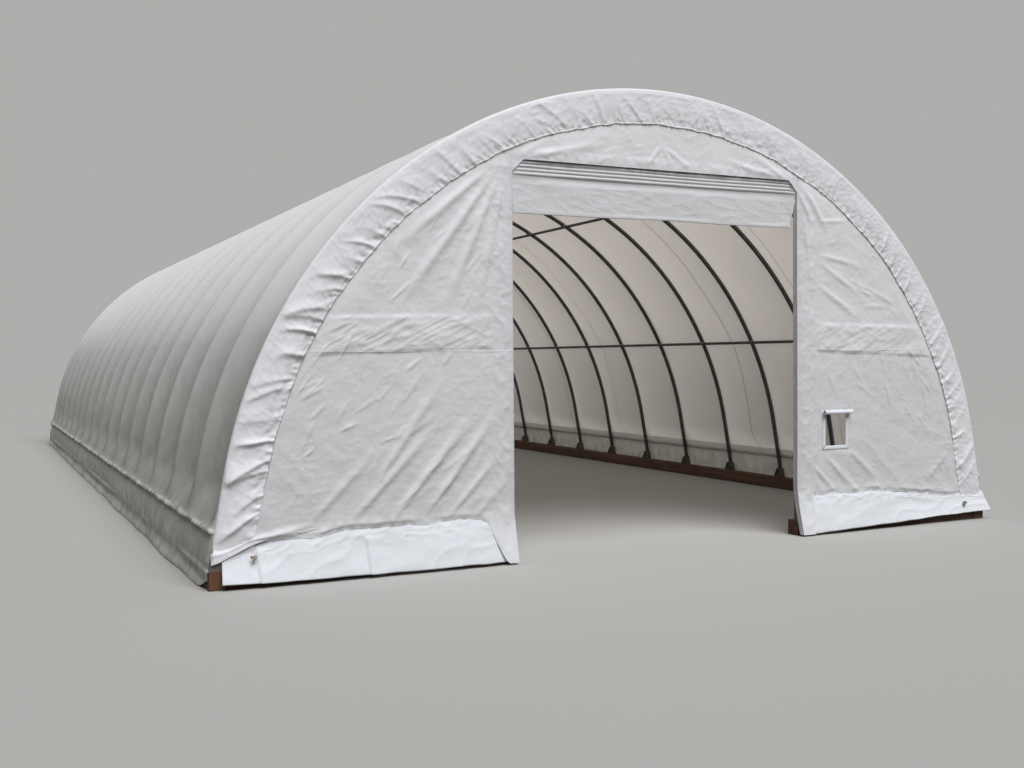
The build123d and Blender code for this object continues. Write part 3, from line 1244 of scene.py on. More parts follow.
@dataclass
class Cover(Assembly):
    """The welded cover with its bottom pockets, and the loose cloth below them.

    Attributes:
        seat: distance of the cloth from the hoops' own line.
        crown_sag: dip between two hoops at the crown, and side_sag: low on the sides.
        rest: half the width of cloth that lies on a hoop.
        pocket_rows: section of a pocket, each a length from the pipe and a distance outward.
        first_inside: the first of those rows that is turned in behind the pipe.
    """

    seat: float = 0.0335
    crown_sag: float = 0.026
    side_sag: float = 0.132
    purlin_sag: float = 0.064
    inner_sag: float = 0.009
    row: float = 0.140
    pipe_shift: float = 0.0512
    pipe: float = 0.042
    rest: float = 0.015
    rows_a_bay: int = 38
    first_inside: int = 15
    skirt_drop: float = 0.52
    pocket_rows: tuple[Point, ...] = (
        (-0.420, 0.0335), (-0.340, 0.0345), (-0.260, 0.0365), (-0.190, 0.0395), (-0.135, 0.0435),
        (-0.095, 0.0475), (-0.068, 0.0520), (-0.050, 0.0580), (-0.037, 0.0650), (-0.025, 0.0715),
        (-0.014, 0.0765), (0.007, 0.0785), (0.017, 0.0745), (0.026, 0.0670), (0.033, 0.0565),
        (0.036, 0.0455), (0.031, 0.0350), (0.018, 0.0290), (-0.020, 0.0285), (-0.060, 0.0290),
        (-0.095, 0.0315),
    )

    def build(self) -> None:
        """Make and settle the cover and its flaps."""
        nodes = tuple(f"cover_{number}" for number in range(1, 6))
        cover = cloth_object("cover_sheet", [self._cover_places()])
        flat = (2 * HALL.length_at(HALL.pocket_height) + 0.42, 2 * HALL.half_length)
        cut = Cut(flat, Hold.STRETCHED, ("hoop_frame",))
        self.settle(cover, "cover_fabric", self.finishes.cover, nodes, cut)
        for side in Flank:
            name = f"{side.name.lower()}_side_skirt"
            skirt = cloth_object(f"{name}_cloth", [self._skirt_places(side)], side is Flank.RIGHT)
            cut = Cut((2 * HALL.half_length + 0.07, self.skirt_drop), Hold.HUNG, ("cover_sheet",))
            self.settle(skirt, "skirt_fabric", self.finishes.side_flap, (name,), cut)
        self.settle(self._ties(), "cover_fabric")
        self.settle(self._pipes(), "purlin_pipe", self.finishes.purlin, ("cover_pipes",))

    def _pipes(self) -> Piece:
        """Pipes inside the pockets, closed at their ends.

        Returns:
            Both pipes in one piece.
        """
        end = HALL.half_length - 0.012
        y = np.concatenate([[-end - 0.0005], np.linspace(-end, end, 24), [end + 0.0005]])
        radius = np.full(len(y), self.pipe / 2)
        radius[[0, -1]] = 0.001
        patches = []
        for side in Flank:
            x, z = HALL.place(side.value * HALL.length_at(HALL.pocket_height), self.pipe_shift)
            patches.append(tube_places(grid(x, y, z), radius, 14))
        return cloth_object("pocket_pipes", patches)

    def _along(self) -> Array:
        """Places along the building, close together near the hoops.

        Returns:
            Y of each row.
        """
        edge = self.rest / HALL.bay
        steps = np.concatenate([[0.0], np.linspace(edge, 1 - edge, self.rows_a_bay - 1)])
        bays = [y + steps * HALL.bay for y in HALL.hoops[:-1]]
        turned = HALL.half_length + np.array([0.010, 0.022])
        return np.concatenate([-turned[::-1], *bays, HALL.hoops[-1:], turned])

    def _section(self) -> tuple[Array, Array, Array]:
        """Columns of the cover, from the left pocket's inside over the crown to the right one's.

        Returns:
            Length from the crown, distance outward, and whether it is turned in behind the pipe.
        """
        pocket, ends = HALL.length_at(HALL.pocket_height), np.array(self.pocket_rows)
        top = pocket + ends[0, 0]
        count = int(2 * top / self.row)
        reach, lift = pocket + ends[1:, 0], ends[1:, 1]
        length = np.concatenate([-reach[::-1], np.linspace(-top, top, count), reach])
        lift = np.concatenate([lift[::-1], np.full(count, self.seat), lift])
        inside = np.arange(len(reach)) >= self.first_inside
        inside = np.concatenate([inside[::-1], np.zeros(count, bool), inside])
        return length[None, :], lift[None, :], inside

    def _sag(self, y: Array, length: Array, low: Array) -> Array:
        """How deep the cloth dips between two hoops.

        Args:
            y: places along the building.
            length: length from the crown.
            low: 0 at the pocket, 1 well above it.

        Returns:
            Depth in the middle of each bay.
        """
        away = np.abs(length)
        sag = (self.crown_sag + (self.side_sag - self.crown_sag) * ease(away, 0.8, 5.4)) * low
        bays = np.floor((y + HALL.half_length) / HALL.bay + 1e-6)
        sag = sag * (1 + 0.13 * Crumple(17, 1.0).height(bays * 3.7, length * 0.25 + 9))
        for turn in (turn for turn in Frame.purlin_turns if turn > 0):
            near = bell(away - math.radians(turn) * HALL.radius, 0.70)
            sag = sag - np.maximum(sag - self.purlin_sag, 0) * near
        return sag

    @staticmethod
    def _creased(y: Array, length: Array, above: Array, low: Array) -> Array:
        """Soft bumps all over the cloth, and pull folds that rise from the pocket.

        Args:
            y: places along the building.
            length: length from the crown.
            above: length above the pocket.
            low: 0 at the pocket, 1 well above it.

        Returns:
            Relief of the cloth between the hoops.
        """
        side = np.sign(length)
        soft = Crumple(11, 0.42).height(length + CLEAR, y + CLEAR) * 0.0045
        soft = soft + Crumple(12, 0.16).height(length + CLEAR, y * 1.6 + CLEAR) * 0.0018
        rise = np.maximum(above - 0.04, 0)
        lean = y + CLEAR + side * 7 + rise * 0.16 * Crumple(18, 0.9).height(y + CLEAR, side * 3)
        pulls = Crumple(13, 0.075).ridges(lean, side * 3)
        pulls = pulls * Crumple(19, 0.34).ridges(y + CLEAR, side * 2)
        return soft * low + pulls * 0.010 * np.exp(-rise / 0.38) * ease(above, 0.05, 0.16)

    def _cover_places(self) -> Array:
        """The cover's shape.

        Returns:
            Grid of places, rows along the building and columns over the arch.
        """
        y = self._along()[:, None]
        length, lift, inside = self._section()
        pocket = HALL.length_at(HALL.pocket_height)
        away, side = np.abs(length), np.sign(length)
        above = pocket - away
        low = ease(above, 0.00, 0.36)
        part = np.mod(y + HALL.half_length, HALL.bay)
        part = np.clip((part - self.rest) / (HALL.bay - 2 * self.rest), 0, 1)
        dip = (4 * part * (1 - part)) ** 0.93
        shift = lift - self._sag(y, length, low) * dip
        shift = shift + self._creased(y, length, above, low) * dip**0.5
        rough = Crumple(14, 0.065).height(y + CLEAR, side * 5.0 - above * 2) * 0.006
        rough = rough + Crumple(20, 0.21).ridges(y + CLEAR, side * 8.0) * 0.010
        rough = rough + Crumple(27, 0.045).ridges(y * 0.8 + away * 0.6 + CLEAR, side * 3.0) * 0.006
        shift = shift + bell(above + 0.002, 0.036) * rough
        shift = np.where(inside, lift - self.inner_sag * dip, shift)
        wave = Crumple(15, 0.24).height(y + CLEAR, side * 9.0) * 0.012
        wave = wave + Crumple(16, 0.9).height(y, side) * 0.008
        wave = wave + Crumple(28, 0.09).height(y + CLEAR, side * 6.0) * 0.005
        length = length + side * wave * ease(-above, -0.22, -0.03) * ~inside
        across = (np.abs(length) - pocket) / (self.pipe / 2)
        round_pipe = np.sqrt(np.maximum(1 - across**2, 0)) * self.pipe / 2
        over_pipe = np.maximum(shift, self.pipe_shift + round_pipe + 0.002)
        shift = np.where(inside | (np.abs(across) >= 1), shift, over_pipe)
        beyond = np.abs(y) - HALL.half_length
        turned = np.sqrt(np.maximum(self.seat**2 - beyond**2, 0)) - 0.0015
        x, z = HALL.place(length, np.where(beyond > 0.001, turned, shift))
        return grid(x, y, z)

    def _skirt_places(self, side: Flank) -> Array:
        """Shape of one side flap.

        Args:
            side: which side.

        Returns:
            Grid of places, rows along the building and columns down to the ground.
        """
        front = 0.045 if side is Flank.LEFT else -0.012
        y = np.linspace(-HALL.half_length - front, HALL.half_length + 0.045, 560)[:, None]
        down = np.linspace(0, 1, 27)[None, :]
        head_z = HALL.pocket_height - 0.012
        head_x = HALL.leg_x(head_z, 0.052)
        foot_x = HALL.leg_x(HALL.sill_height, HALL.pipe / 2) + 0.012
        here, turn = y + CLEAR, side.value
        wave = Crumple(21, 1.3).height(here, turn * 4.0) * 0.014
        wave = wave + Crumple(22, 0.34).height(here, down * 0.45 + turn) * 0.006
        wave = wave + Crumple(26, 0.13).ridges(here + down * 0.12, down * 0.6 + turn * 3) * 0.005
        swing = np.sin(np.pi * np.minimum(down * 1.15, 1)) * 0.012
        curl = ease(down, 0.70, 1.0) ** 1.3
        curl = curl * (0.036 + 0.012 * Crumple(23, 0.7).height(here, turn * 2.0))
        across = head_x + (foot_x - head_x) * down + swing + wave * ease(down, 0.10, 0.7) + curl
        beyond = np.abs(y) - HALL.half_length
        near_end = ease(beyond, -0.40, 0.04)
        across = across - near_end * ease(down, 0.55, 1.0) * 0.040
        hem = 0.004 + 0.085 * near_end**2.2 + 0.004 * Crumple(24, 0.9).height(here, turn * 6.0)
        height = head_z + (np.maximum(hem, 0.003) - head_z) * down
        round_corner = ease(beyond, -0.040, 0.040) * (height > 0.19)
        across = across * (1 - round_corner) + HALL.leg_x(0.33, 0.022) * round_corner
        on_sill = height < HALL.sill_height + 0.01
        x = turn * np.where(on_sill, np.maximum(across, foot_x + 0.001), across)
        return grid(x, y, height)

    def _ties(self) -> Piece:
        """Webbing loops that tie the cover's pipe to each hoop.

        Returns:
            All the loops in one piece.
        """
        tree = Pattern("pocket_ties")
        radius = tree.size("Loop radius", 0.040)
        width = tree.size("Webbing width", 0.024)
        loop = tree.moved(tree.loop(radius, 16, width, 0.002), (0.0, 0.052, 0.0), (0, 0.35, 0))
        points, turns = both_sides(HALL.hoops[1:-1], HALL.pocket_height - 0.02, 0.004)
        return tree.make(loop, self.finishes.webbing, points, turns)


@dataclass
class EndBand(Assembly):
    """The cover's end, turned round the end hoop and drawn in by a rope.

    Attributes:
        wrap: radius of the cloth round the hoop, and hem: round the rope.
        feet: heights at which the band ends, left and right.
        puckers: short gathers at the drawn edge, and wrinkles: longer folds across the band.
    """

    end: End = End.FRONT
    width: float = 0.322
    wrap: float = 0.0355
    hem: float = 0.0105
    feet: Point = (0.345, 0.290)
    step: float = 0.0118
    puckers: int = 190
    wrinkles: int = 74
    seed: int = 31

    @property
    def reach(self) -> float:
        """Length from the crown to the lower of the band's feet."""
        return max(HALL.length_at(foot) for foot in self.feet)

    def build(self) -> None:
        """Make and settle the band and its knots."""
        name = f"{self.end.name.lower()}_band"
        band = cloth_object(f"{name}_cloth", [self._places()], self.end is End.FRONT)
        cut = Cut((0.46, 2 * self.reach + 0.3), Hold.GATHERED, ("hoop_frame",))
        for knot in [self._knot(side) for side in Flank]:
            self.settle(knot, "cover_fabric", self.finishes.rope)
        self.settle(band, "cover_fabric", self.finishes.band, (name,), cut)

    def _crumple(self, step: int, reach: float) -> Crumple:
        """One of the band's own patterns."""
        return Crumple(self.seed + step, reach)

    def _wrinkled(self, pick: np.random.Generator, length: Array, inward: Array) -> Array:
        """Long folds, steep on one side, that fan out from the drawn edge.

        Args:
            pick: source of the folds' places and sizes.
            length: length along the band from the crown.
            inward: 0 at the hoop and 1 at the drawn edge.

        Returns:
            Their relief: most on the left leg, least over the crown.
        """
        bend = 0.025 * self._crumple(6, 0.3).height(length + CLEAR, inward * 0.5)
        relief = 0.012 * np.sin(np.pi * np.clip(inward, 0, 1)) + 0 * length
        even = np.linspace(-self.reach, self.reach, self.wrinkles)
        for spot in even + pick.uniform(-0.075, 0.075, self.wrinkles):
            slant = -pick.uniform(0.06, 0.26) - 0.06 * (spot < -3.0)
            size, start = pick.uniform(0.008, 0.030), pick.uniform(-0.2, 0.50)
            spread = pick.uniform(0.022, 0.055) * (1.9 - 1.1 * inward)
            away = length - spot - (slant + bend) * (1 - inward) ** 1.3
            steep = np.where(away < 0, 0.42, 1.0)
            fade = ease(inward, start - 0.30, start + 0.30) * (1 - 0.25 * ease(inward, 0.85, 1.0))
            relief = relief + size * np.exp(-((np.abs(away) / (spread * steep)) ** 1.5)) * fade
        return relief * (0.34 + 0.74 * ease(-length, 2.0, 5.2) + 0.34 * ease(length, 1.6, 4.2))

    def _puckered(self, pick: np.random.Generator, length: Array, inward: Array) -> Array:
        """Short dents where the rope gathers the edge.

        Args:
            pick: source of the dents' places and sizes.
            length: length along the band from the crown.
            inward: 0 at the hoop and 1 at the drawn edge.

        Returns:
            Their depth.
        """
        even = np.linspace(-self.reach, self.reach, self.puckers)
        spread, dents = 0.011 + 0.050 * (1 - inward), 0
        for mark in np.sort(even + pick.uniform(-0.028, 0.028, self.puckers)):
            depth, start = pick.uniform(0.006, 0.021), pick.uniform(0.50, 0.88)
            away = length - mark + pick.uniform(0.0, 0.30) * (1 - inward)
            dents = dents + 0.70 * depth * bell(away, spread) * ease(inward, start, 1.0)
        return dents

    def _relief(self, length: Array, inward: Array) -> Array:
        """How far the gathered cloth stands out.

        Args:
            length: length along the band from the crown.
            inward: 0 at the hoop and 1 at the drawn edge.

        Returns:
            Height above the plain band.
        """
        pick = np.random.default_rng(self.seed)
        relief = self._wrinkled(pick, length, inward) - self._puckered(pick, length, inward)
        here = length + CLEAR
        fine = self._crumple(1, 0.05).ridges(here - length * 0.2 + inward * 0.1, inward * 0.3)
        soft = self._crumple(5, 0.14).height(here, inward * 0.35)
        puffs = self._crumple(8, 0.052).height(here, inward * 0.35)
        puffs = puffs * (0.006 + 0.004 * (length < -2.5)) * ease(inward, 0.50, 0.92)
        left, right = (HALL.length_at(foot) for foot in self.feet)
        ends = ease(np.minimum(length + left, right - length), 0.0, 0.20)
        return (relief + (fine + soft) * 0.004 + puffs) * (0.10 + 0.90 * ends)

    def _places(self) -> Array:
        """The band's shape.

        Returns:
            Grid of places, rows from the hoop to the drawn edge and columns along the arch.
        """
        left, right = (HALL.length_at(foot) for foot in self.feet)
        length = np.linspace(-left, right, int((left + right) / self.step))[None, :]
        bend = np.radians(np.linspace(0, 88, 9))[:, None]
        flat = np.linspace(0.03, 1, 27)[:, None]
        roll = np.radians(np.linspace(35, 250, 8))[:, None]
        waver = self._crumple(2, 0.10).height(length + CLEAR, 0.0) * 0.007
        waver = waver + self._crumple(3, 0.5).height(length + CLEAR, 0.0) * 0.010
        relief, start = self._relief(length, flat), self._relief(length, flat[:1])
        shift_bend = self.wrap * np.cos(bend) - 0.002 + 0 * length
        out_bend = self.wrap * np.sin(bend) + start * np.sin(bend) ** 2 * 0.6
        shift_flat = -0.004 - (self.width - 0.004) * flat + waver * flat
        out_flat = 0.0385 + 0.005 * flat + np.maximum(relief, -0.002 - 0.004 * flat)
        thin = 0.75 + 0.45 * self._crumple(4, 0.035).height(length + CLEAR, 0.0)
        thin = self.hem * thin
        shift_hem = shift_flat[-1:] - thin * np.sin(roll)
        out_hem = out_flat[-1:] * 0.5 + 0.0225 + thin * (np.cos(roll) - 0.4)
        x, z = HALL.place(length, np.concatenate([shift_bend, shift_flat, shift_hem]))
        out = np.concatenate([out_bend, out_flat, out_hem])
        return grid(x, self.end.value * (HALL.half_length + out), z)

    def _knot(self, side: Flank) -> Piece:
        """Knot at one end of the draw rope.

        Args:
            side: which end of the rope.

        Returns:
            The knot.
        """
        turn, size, rope = np.linspace(0, 2 * np.pi, 90), 0.0100, 0.0062
        foot = self.feet[0] if side is Flank.LEFT else self.feet[1]
        x, z = HALL.place(side.value * HALL.length_at(foot - 0.022), -self.width)
        line = grid(
            size * (np.sin(turn) + 2 * np.sin(2 * turn)) * 0.9 + float(x),
            self.end.value * (HALL.half_length + 0.098) - size * np.sin(3 * turn),
            size * (np.cos(turn) - 2 * np.cos(2 * turn)) * 0.8 + float(z),
        )
        name = f"{self.end.name.lower()}_{side.name.lower()}_rope_knot"
        return cloth_object(name, [tube_places(line, rope, 9)])


@dataclass(frozen=True)
class SlackPatch:
    """Part of the front wall that many small folds cross.

    Attributes:
        count: number of folds.
        across: places between which they start, and up: heights.
        lean: their angle to the ground, in degrees.
        share: their length against the usual one.
    """

    count: int
    across: Point
    up: Point
    lean: float
    share: float = 1.0

    def folds(self, pick: np.random.Generator) -> list[Fold]:
        """Scatter the folds.

        Args:
            pick: source of their places and sizes.

        Returns:
            The folds.
        """
        made = []
        for _ in range(self.count):
            x, z = pick.uniform(*self.across), pick.uniform(*self.up)
            turn = math.radians(self.lean + pick.normal(0, 16))
            reach = pick.uniform(0.14, 0.50) * self.share
            end = (x + reach * math.cos(turn), z + reach * math.sin(turn))
            made.append(Fold((x, z), end, pick.uniform(0.014, 0.032), pick.uniform(0.003, 0.0085)))
        return made


@dataclass
class EndWall(Assembly):
    """The front wall with its doorway and vent, and the closed rear wall.

    Attributes:
        plane: distance of the walls from the end hoops' middle.
        step: distance between rows and columns.
        vent_left: edges of the vent's opening, with vent_right, vent_low and vent_high.
        arch_area: cloth of the whole arch, and slack_area: what folds and hems take up.
        rear_band: height of the rear wall's sewn band.
        slack: parts of the front wall with many small folds.
        folds: its long folds: X and Z of both ends, width, height, and 1 for a blunt start.
    """

    plane: float = 0.0360
    step: float = 0.0165
    side_margin: float = 0.045
    vent_left: float = 2.157
    vent_right: float = 2.453
    vent_low: float = 0.968
    vent_high: float = 1.328
    arch_area: float = 29.9
    slack_area: float = 2.4
    rear_area: float = 31.5
    rear_band: float = 2.06
    slack: tuple[SlackPatch, ...] = (
        SlackPatch(46, (-4.0, -1.9), (0.55, 1.95), 46),
        SlackPatch(20, (-3.7, -1.9), (2.4, 3.6), 58),
        SlackPatch(26, (2.1, 4.1), (0.55, 1.95), 118),
        SlackPatch(16, (2.1, 3.7), (2.4, 3.3), 150),
        SlackPatch(14, (-1.6, 1.6), (3.95, 4.25), 12, 0.5),
    )
    folds: tuple[tuple[float, ...], ...] = (
        (-3.40, 0.46, -2.45, 1.42, 0.050, 0.019), (-3.15, 0.78, -2.40, 1.86, 0.055, 0.018),
        (-2.99, 0.46, -2.10, 1.50, 0.050, 0.023), (-2.68, 0.46, -1.78, 1.60, 0.048, 0.022),
        (-2.44, 0.45, -1.76, 1.16, 0.040, 0.017), (-2.14, 0.45, -1.75, 0.86, 0.035, 0.015),
        (-3.75, 0.50, -3.05, 1.20, 0.050, 0.014), (-1.86, 3.80, -2.95, 2.36, 0.060, 0.024, 1),
        (-1.84, 3.76, -2.45, 2.36, 0.050, 0.022, 1), (-1.90, 3.84, -2.95, 2.95, 0.055, 0.018, 1),
        (-1.80, 3.72, -2.10, 2.36, 0.040, 0.018, 1), (-1.92, 3.86, -2.60, 3.52, 0.045, 0.014, 1),
        (1.96, 0.78, 2.34, 0.42, 0.035, 0.014, 1), (2.16, 0.86, 2.66, 0.40, 0.045, 0.013, 1),
        (2.47, 0.93, 2.95, 0.55, 0.045, 0.012, 1), (4.05, 0.86, 3.62, 0.46, 0.050, 0.010, 1),
        (1.76, 3.82, 1.96, 3.40, 0.030, 0.022, 1), (1.84, 3.84, 2.22, 3.30, 0.040, 0.018, 1),
        (1.80, 3.78, 1.98, 2.60, 0.028, 0.013, 1), (2.05, 3.46, 2.60, 3.50, 0.030, 0.010, 1),
        (2.05, 3.10, 2.72, 2.98, 0.035, 0.010, 1), (2.02, 2.78, 2.75, 2.34, 0.045, 0.013, 1),
        (2.06, 3.02, 2.68, 2.66, 0.035, 0.010, 1), (-1.66, 3.92, -1.00, 4.30, 0.045, 0.018, 1),
        (-1.56, 3.92, -0.60, 4.12, 0.040, 0.014, 1), (1.64, 3.88, 1.00, 4.24, 0.045, 0.018, 1),
        (1.50, 3.91, 0.74, 4.06, 0.035, 0.012, 1), (0.00, 4.14, -0.20, 3.90, 0.018, 0.015, 1),
        (0.01, 4.14, 0.13, 3.92, 0.016, 0.014, 1), (0.02, 4.13, 0.38, 3.91, 0.020, 0.015, 1),
    )

    @property
    def width(self) -> float:
        """Half the width of the walls' cloth, which reaches behind the band."""
        return HALL.radius * math.sin(HALL.half_angle) + self.side_margin

    def build(self) -> None:
        """Make and settle both walls."""
        nodes = ("front_left_panel", "front_right_panel", "front_top_panel")
        wall = cloth_object("front_wall_cloth", self._front_patches())
        doorway = (HALL.door_right - HALL.door_left) * (HALL.door_height - 0.36)
        area = self.arch_area - doorway + self.slack_area
        cut = Cut((9.0, 4.45), Hold.STRETCHED, ("hoop_frame", "front_band_cloth"), area)
        self.settle(wall, "end_fabric", self.finishes.wall, nodes, cut)
        rear = cloth_object("rear_wall_cloth", [self._rear_places()], True)
        rests_on = ("hoop_frame", "rear_band_cloth")
        cut = Cut((9.0, 4.35), Hold.STRETCHED, rests_on, self.rear_area)
        self.settle(rear, "end_fabric", self.finishes.rear, ("rear_panel",), cut)

    @staticmethod
    def edge_room(x: Array, z: Array) -> Array:
        """Room for relief.

        Args:
            x, z: places on the wall.

        Returns:
            1 in the open wall, falling to 0 where the band lies on it.
        """
        reach = np.hypot(x, z - HALL.centre_height)
        reach = np.where(z < 0.95, np.abs(x) * math.sin(HALL.half_angle), reach)
        return ease(HALL.radius - 0.325 - reach, -0.02, 0.16)

    @staticmethod
    def _sewn_band(x: Array, z: Array) -> Array:
        """Crushed band of double cloth across each side of the wall.

        Args:
            x, z: places on the wall.

        Returns:
            Its relief.
        """
        left = x < 0
        seam = np.where(left, 2.045 + 0.036 * (x + 2.8), 2.03 - 0.040 * (x - 2.05))
        top = np.where(left, 2.375 + 0.02 * (x + 2.8), 2.345 - 0.02 * (x - 2.05))
        beyond = np.where(left, -1.93 - x, x - 2.05)
        share = ease(z - seam, -0.006, 0.012) * ease(top - z, -0.012, 0.02)
        slide = x * 0.55 - z * 1.1 + CLEAR
        crush = Crumple(41, 0.050).ridges(slide, (z + x * 0.35) * 0.28 + CLEAR) * 0.0075
        crush = crush + Crumple(42, 0.16).height(slide, z * 0.6 + CLEAR) * 0.0050
        steep = x * 0.5 + z * 0.9 + CLEAR
        crush = crush + Crumple(56, 0.11).ridges(steep, z * 0.5 + CLEAR) * 0.0045
        return share * ease(beyond, -0.02, 0.03) * (0.005 + crush)

    @staticmethod
    def _door_strip(x: Array, z: Array) -> Array:
        """Wrinkled strip beside the doorway.

        Args:
            x, z: places on the wall.

        Returns:
            Its relief.
        """
        left, right = ease(x, -1.925, -1.895), ease(2.02 - x, -0.012, 0.012)
        strip = np.where(x < 0, left, right) * (z < HALL.door_height + 0.1)
        wrinkle = Crumple(43, 0.055).ridges(x + CLEAR, z * 0.45 + CLEAR) * 0.007
        return strip * (0.003 + wrinkle + Crumple(44, 0.11).height(x, z * 0.5) * 0.004)

    def relief(self, x: Array, z: Array) -> Array:
        """How far the front wall stands out from its plane.

        Args:
            x, z: places on the wall.

        Returns:
            Relief at each place.
        """
        pick = np.random.default_rng(57)
        folds = [Fold(row[:2], row[2:4], *row[4:]) for row in self.folds]
        folds += [fold for patch in self.slack for fold in patch.folds(pick)]
        out = sum(fold.relief(x, z) for fold in folds)
        out = out + self._sewn_band(x, z) + self._door_strip(x, z)
        here, up = x + CLEAR, z + CLEAR
        soft = Crumple(45, 0.75).height(here, up) * 0.008
        soft = soft + Crumple(46, 0.17).height(here, up) * 0.003
        soft = soft + Crumple(47, 0.075).ridges(x, z) * 0.0022
        slack = Crumple(48, 0.30).ridges(here + z * 0.8, z * 0.5 - x * 0.3 + CLEAR) * 0.007
        out = out + 0.004 + soft + slack * (0.35 + 0.5 * ease(1.8 - z, 0.0, 1.2))
        crest = Crumple(55, 0.10).ridges(here, z * 0.6 + CLEAR) * 0.014 + 0.003
        out = out + bell(z - FOOT.bend_height(x) + 0.01, 0.05) * crest
        corner = Fold((-4.60, 0.345), (-3.60, 0.520), 0.034, 0.022, True).relief(x, z)
        corner = corner * ease(x, -4.45, -4.2)
        ground = FOOT.reach(x, z) + 0.004 * ease(0.50 - z, 0.0, 0.1) + corner
        door = np.minimum(np.abs(x - HALL.door_left), np.abs(x - HALL.door_right))
        vent = np.maximum(np.abs(x - 2.305) - 0.150, np.abs(z - 1.148) - 0.182)
        tight = (0.35 + 0.65 * ease(door, 0.0, 0.10)) * ease(vent, 0.005, 0.09)
        over_flap = (1 - FOOT.strip_share(x)) * 0.85
        hem = 1 - (1 - ease(z - FOOT.wall_edge(x), 0.0, 0.050)) * over_flap
        out = np.maximum(out * tight, -0.004) * self.edge_room(x, z) * hem
        return out + ground - 0.0035 * (1 - hem)

    def _lift(self, x: Array, z: Array) -> Array:
        """Places of the front wall, from places drawn flat."""
        x = np.broadcast_to(x, z.shape)
        return grid(x, -HALL.half_length - self.plane - self.relief(x, z), z)

    def _rows(self, x: Array, levels: list[float], wide: Point) -> Array:
        """Heights of the rows of a side panel.

        Args:
            x: columns.
            levels: heights that a row follows near the doorway.
            wide: distances from the centre between which the rows leave those levels.

        Returns:
            Rows by columns of heights.
        """
        foot, top = FOOT.wall_edge(x), HALL.arch_height(x)
        share = ease(np.abs(x), *wide)
        marks = [foot]
        for level in levels:
            part = (level - 0.30) / (HALL.arch_height(np.array([1.75]))[0] - 0.30)
            mark = level * (1 - share) + (foot + (top - foot) * part) * share
            marks.append(np.minimum(mark, top - 0.03))
        marks.append(top)
        near_door = slice(max(3, len(x) // 6)) if x[0] > 0 else slice(-len(x) // 6, None)
        rows = [foot[None]]
        for low, high in zip(marks[:-1], marks[1:]):
            steps = max(2, round(float(np.max((high - low)[near_door])) / self.step))
            rows.append(low + (high - low) * (np.arange(1, steps + 1) / steps)[:, None])
        return np.concatenate(rows)

    def _front_patches(self) -> list[Array]:
        """Left, right and top parts of the front, and its strips round the posts.

        Returns:
            Grids of places, which share their edges.
        """
        corner = HALL.door_height - HALL.door_corner
        columns = round((self.width + HALL.door_left) / self.step)
        left_x = np.linspace(-self.width, HALL.door_left, columns)
        left_z = self._rows(left_x, [corner], (2.0, 3.1))
        stops = [HALL.door_right, self.vent_left, self.vent_right, self.width]
        parts = [
            np.linspace(a, b, round((b - a) / self.step) + 1)[1:] for a, b in zip(stops, stops[1:])
        ]
        right_x = np.concatenate([[HALL.door_right], *parts])
        right_z = self._rows(right_x, [self.vent_low, self.vent_high, corner], (2.6, 3.6))
        rows_above = len(left_z) - int(np.argmin(np.abs(left_z[:, -1] - corner)))
        columns = round((HALL.door_right - HALL.door_left) / self.step)
        top_x = np.linspace(HALL.door_left, HALL.door_right, columns)
        edge = np.minimum(top_x - HALL.door_left, HALL.door_right - top_x) / HALL.door_corner
        low = corner + HALL.door_corner * np.minimum(edge, 1.0)
        top_z = low + (HALL.arch_height(top_x) - low) * np.linspace(0, 1, rows_above)[:, None]
        left, top, right = (
            self._lift(x, z) for x, z in ((left_x, left_z), (top_x, top_z), (right_x, right_z))
        )
        a, b = np.searchsorted(right_x, [self.vent_left - 1e-6, self.vent_right - 1e-6])
        levels = (self.vent_low, self.vent_high)
        c, d = (int(np.argmin(np.abs(right_z[:, a] - level))) for level in levels)
        pieces = [right[:, : a + 1], right[:, b:], right[: c + 1, a : b + 1], right[d:, a : b + 1]]
        returns = [self._return(edge) for edge in (left[:, -1], right[:, 0])]
        return [left, top, *pieces, *returns]

    @staticmethod
    def _return(edge: Array, depth: float = 0.066) -> Array:
        """Strip that turns from an edge round the doorway's post."""
        return edge[:, None] + np.array([0.0, depth, 0.0]) * np.linspace(0, 1, 5)[None, :, None]

    def _rear_places(self) -> Array:
        """Shape of the closed rear wall.

        Returns:
            Grid of places.
        """
        x = np.linspace(-self.width, self.width, 200)[None, :]
        z = 0.30 + (HALL.arch_height(x) - 0.30) * np.linspace(0, 1, 110)[:, None]
        here, up = x + CLEAR, z + CLEAR
        out = 0.006 + Crumple(51, 0.8).height(here, up) * 0.009
        out = out + Crumple(52, 0.2).height(here, up) * 0.003
        out = out + Crumple(53, 0.30).ridges(here - z * 0.7, z * 0.5 + CLEAR) * 0.009
        above = z - self.rear_band
        band = ease(above, -0.01, 0.015) * ease(0.32 - above, -0.01, 0.02)
        out = out + band * (0.005 + Crumple(54, 0.09).ridges(here, z * 1.5 + CLEAR) * 0.009)
        out = np.maximum(out, 0.0) * self.edge_room(x, z) + ease(0.52 - z, 0.0, 0.22) ** 1.3 * 0.020
        return grid(x, HALL.half_length + self.plane + out, z)


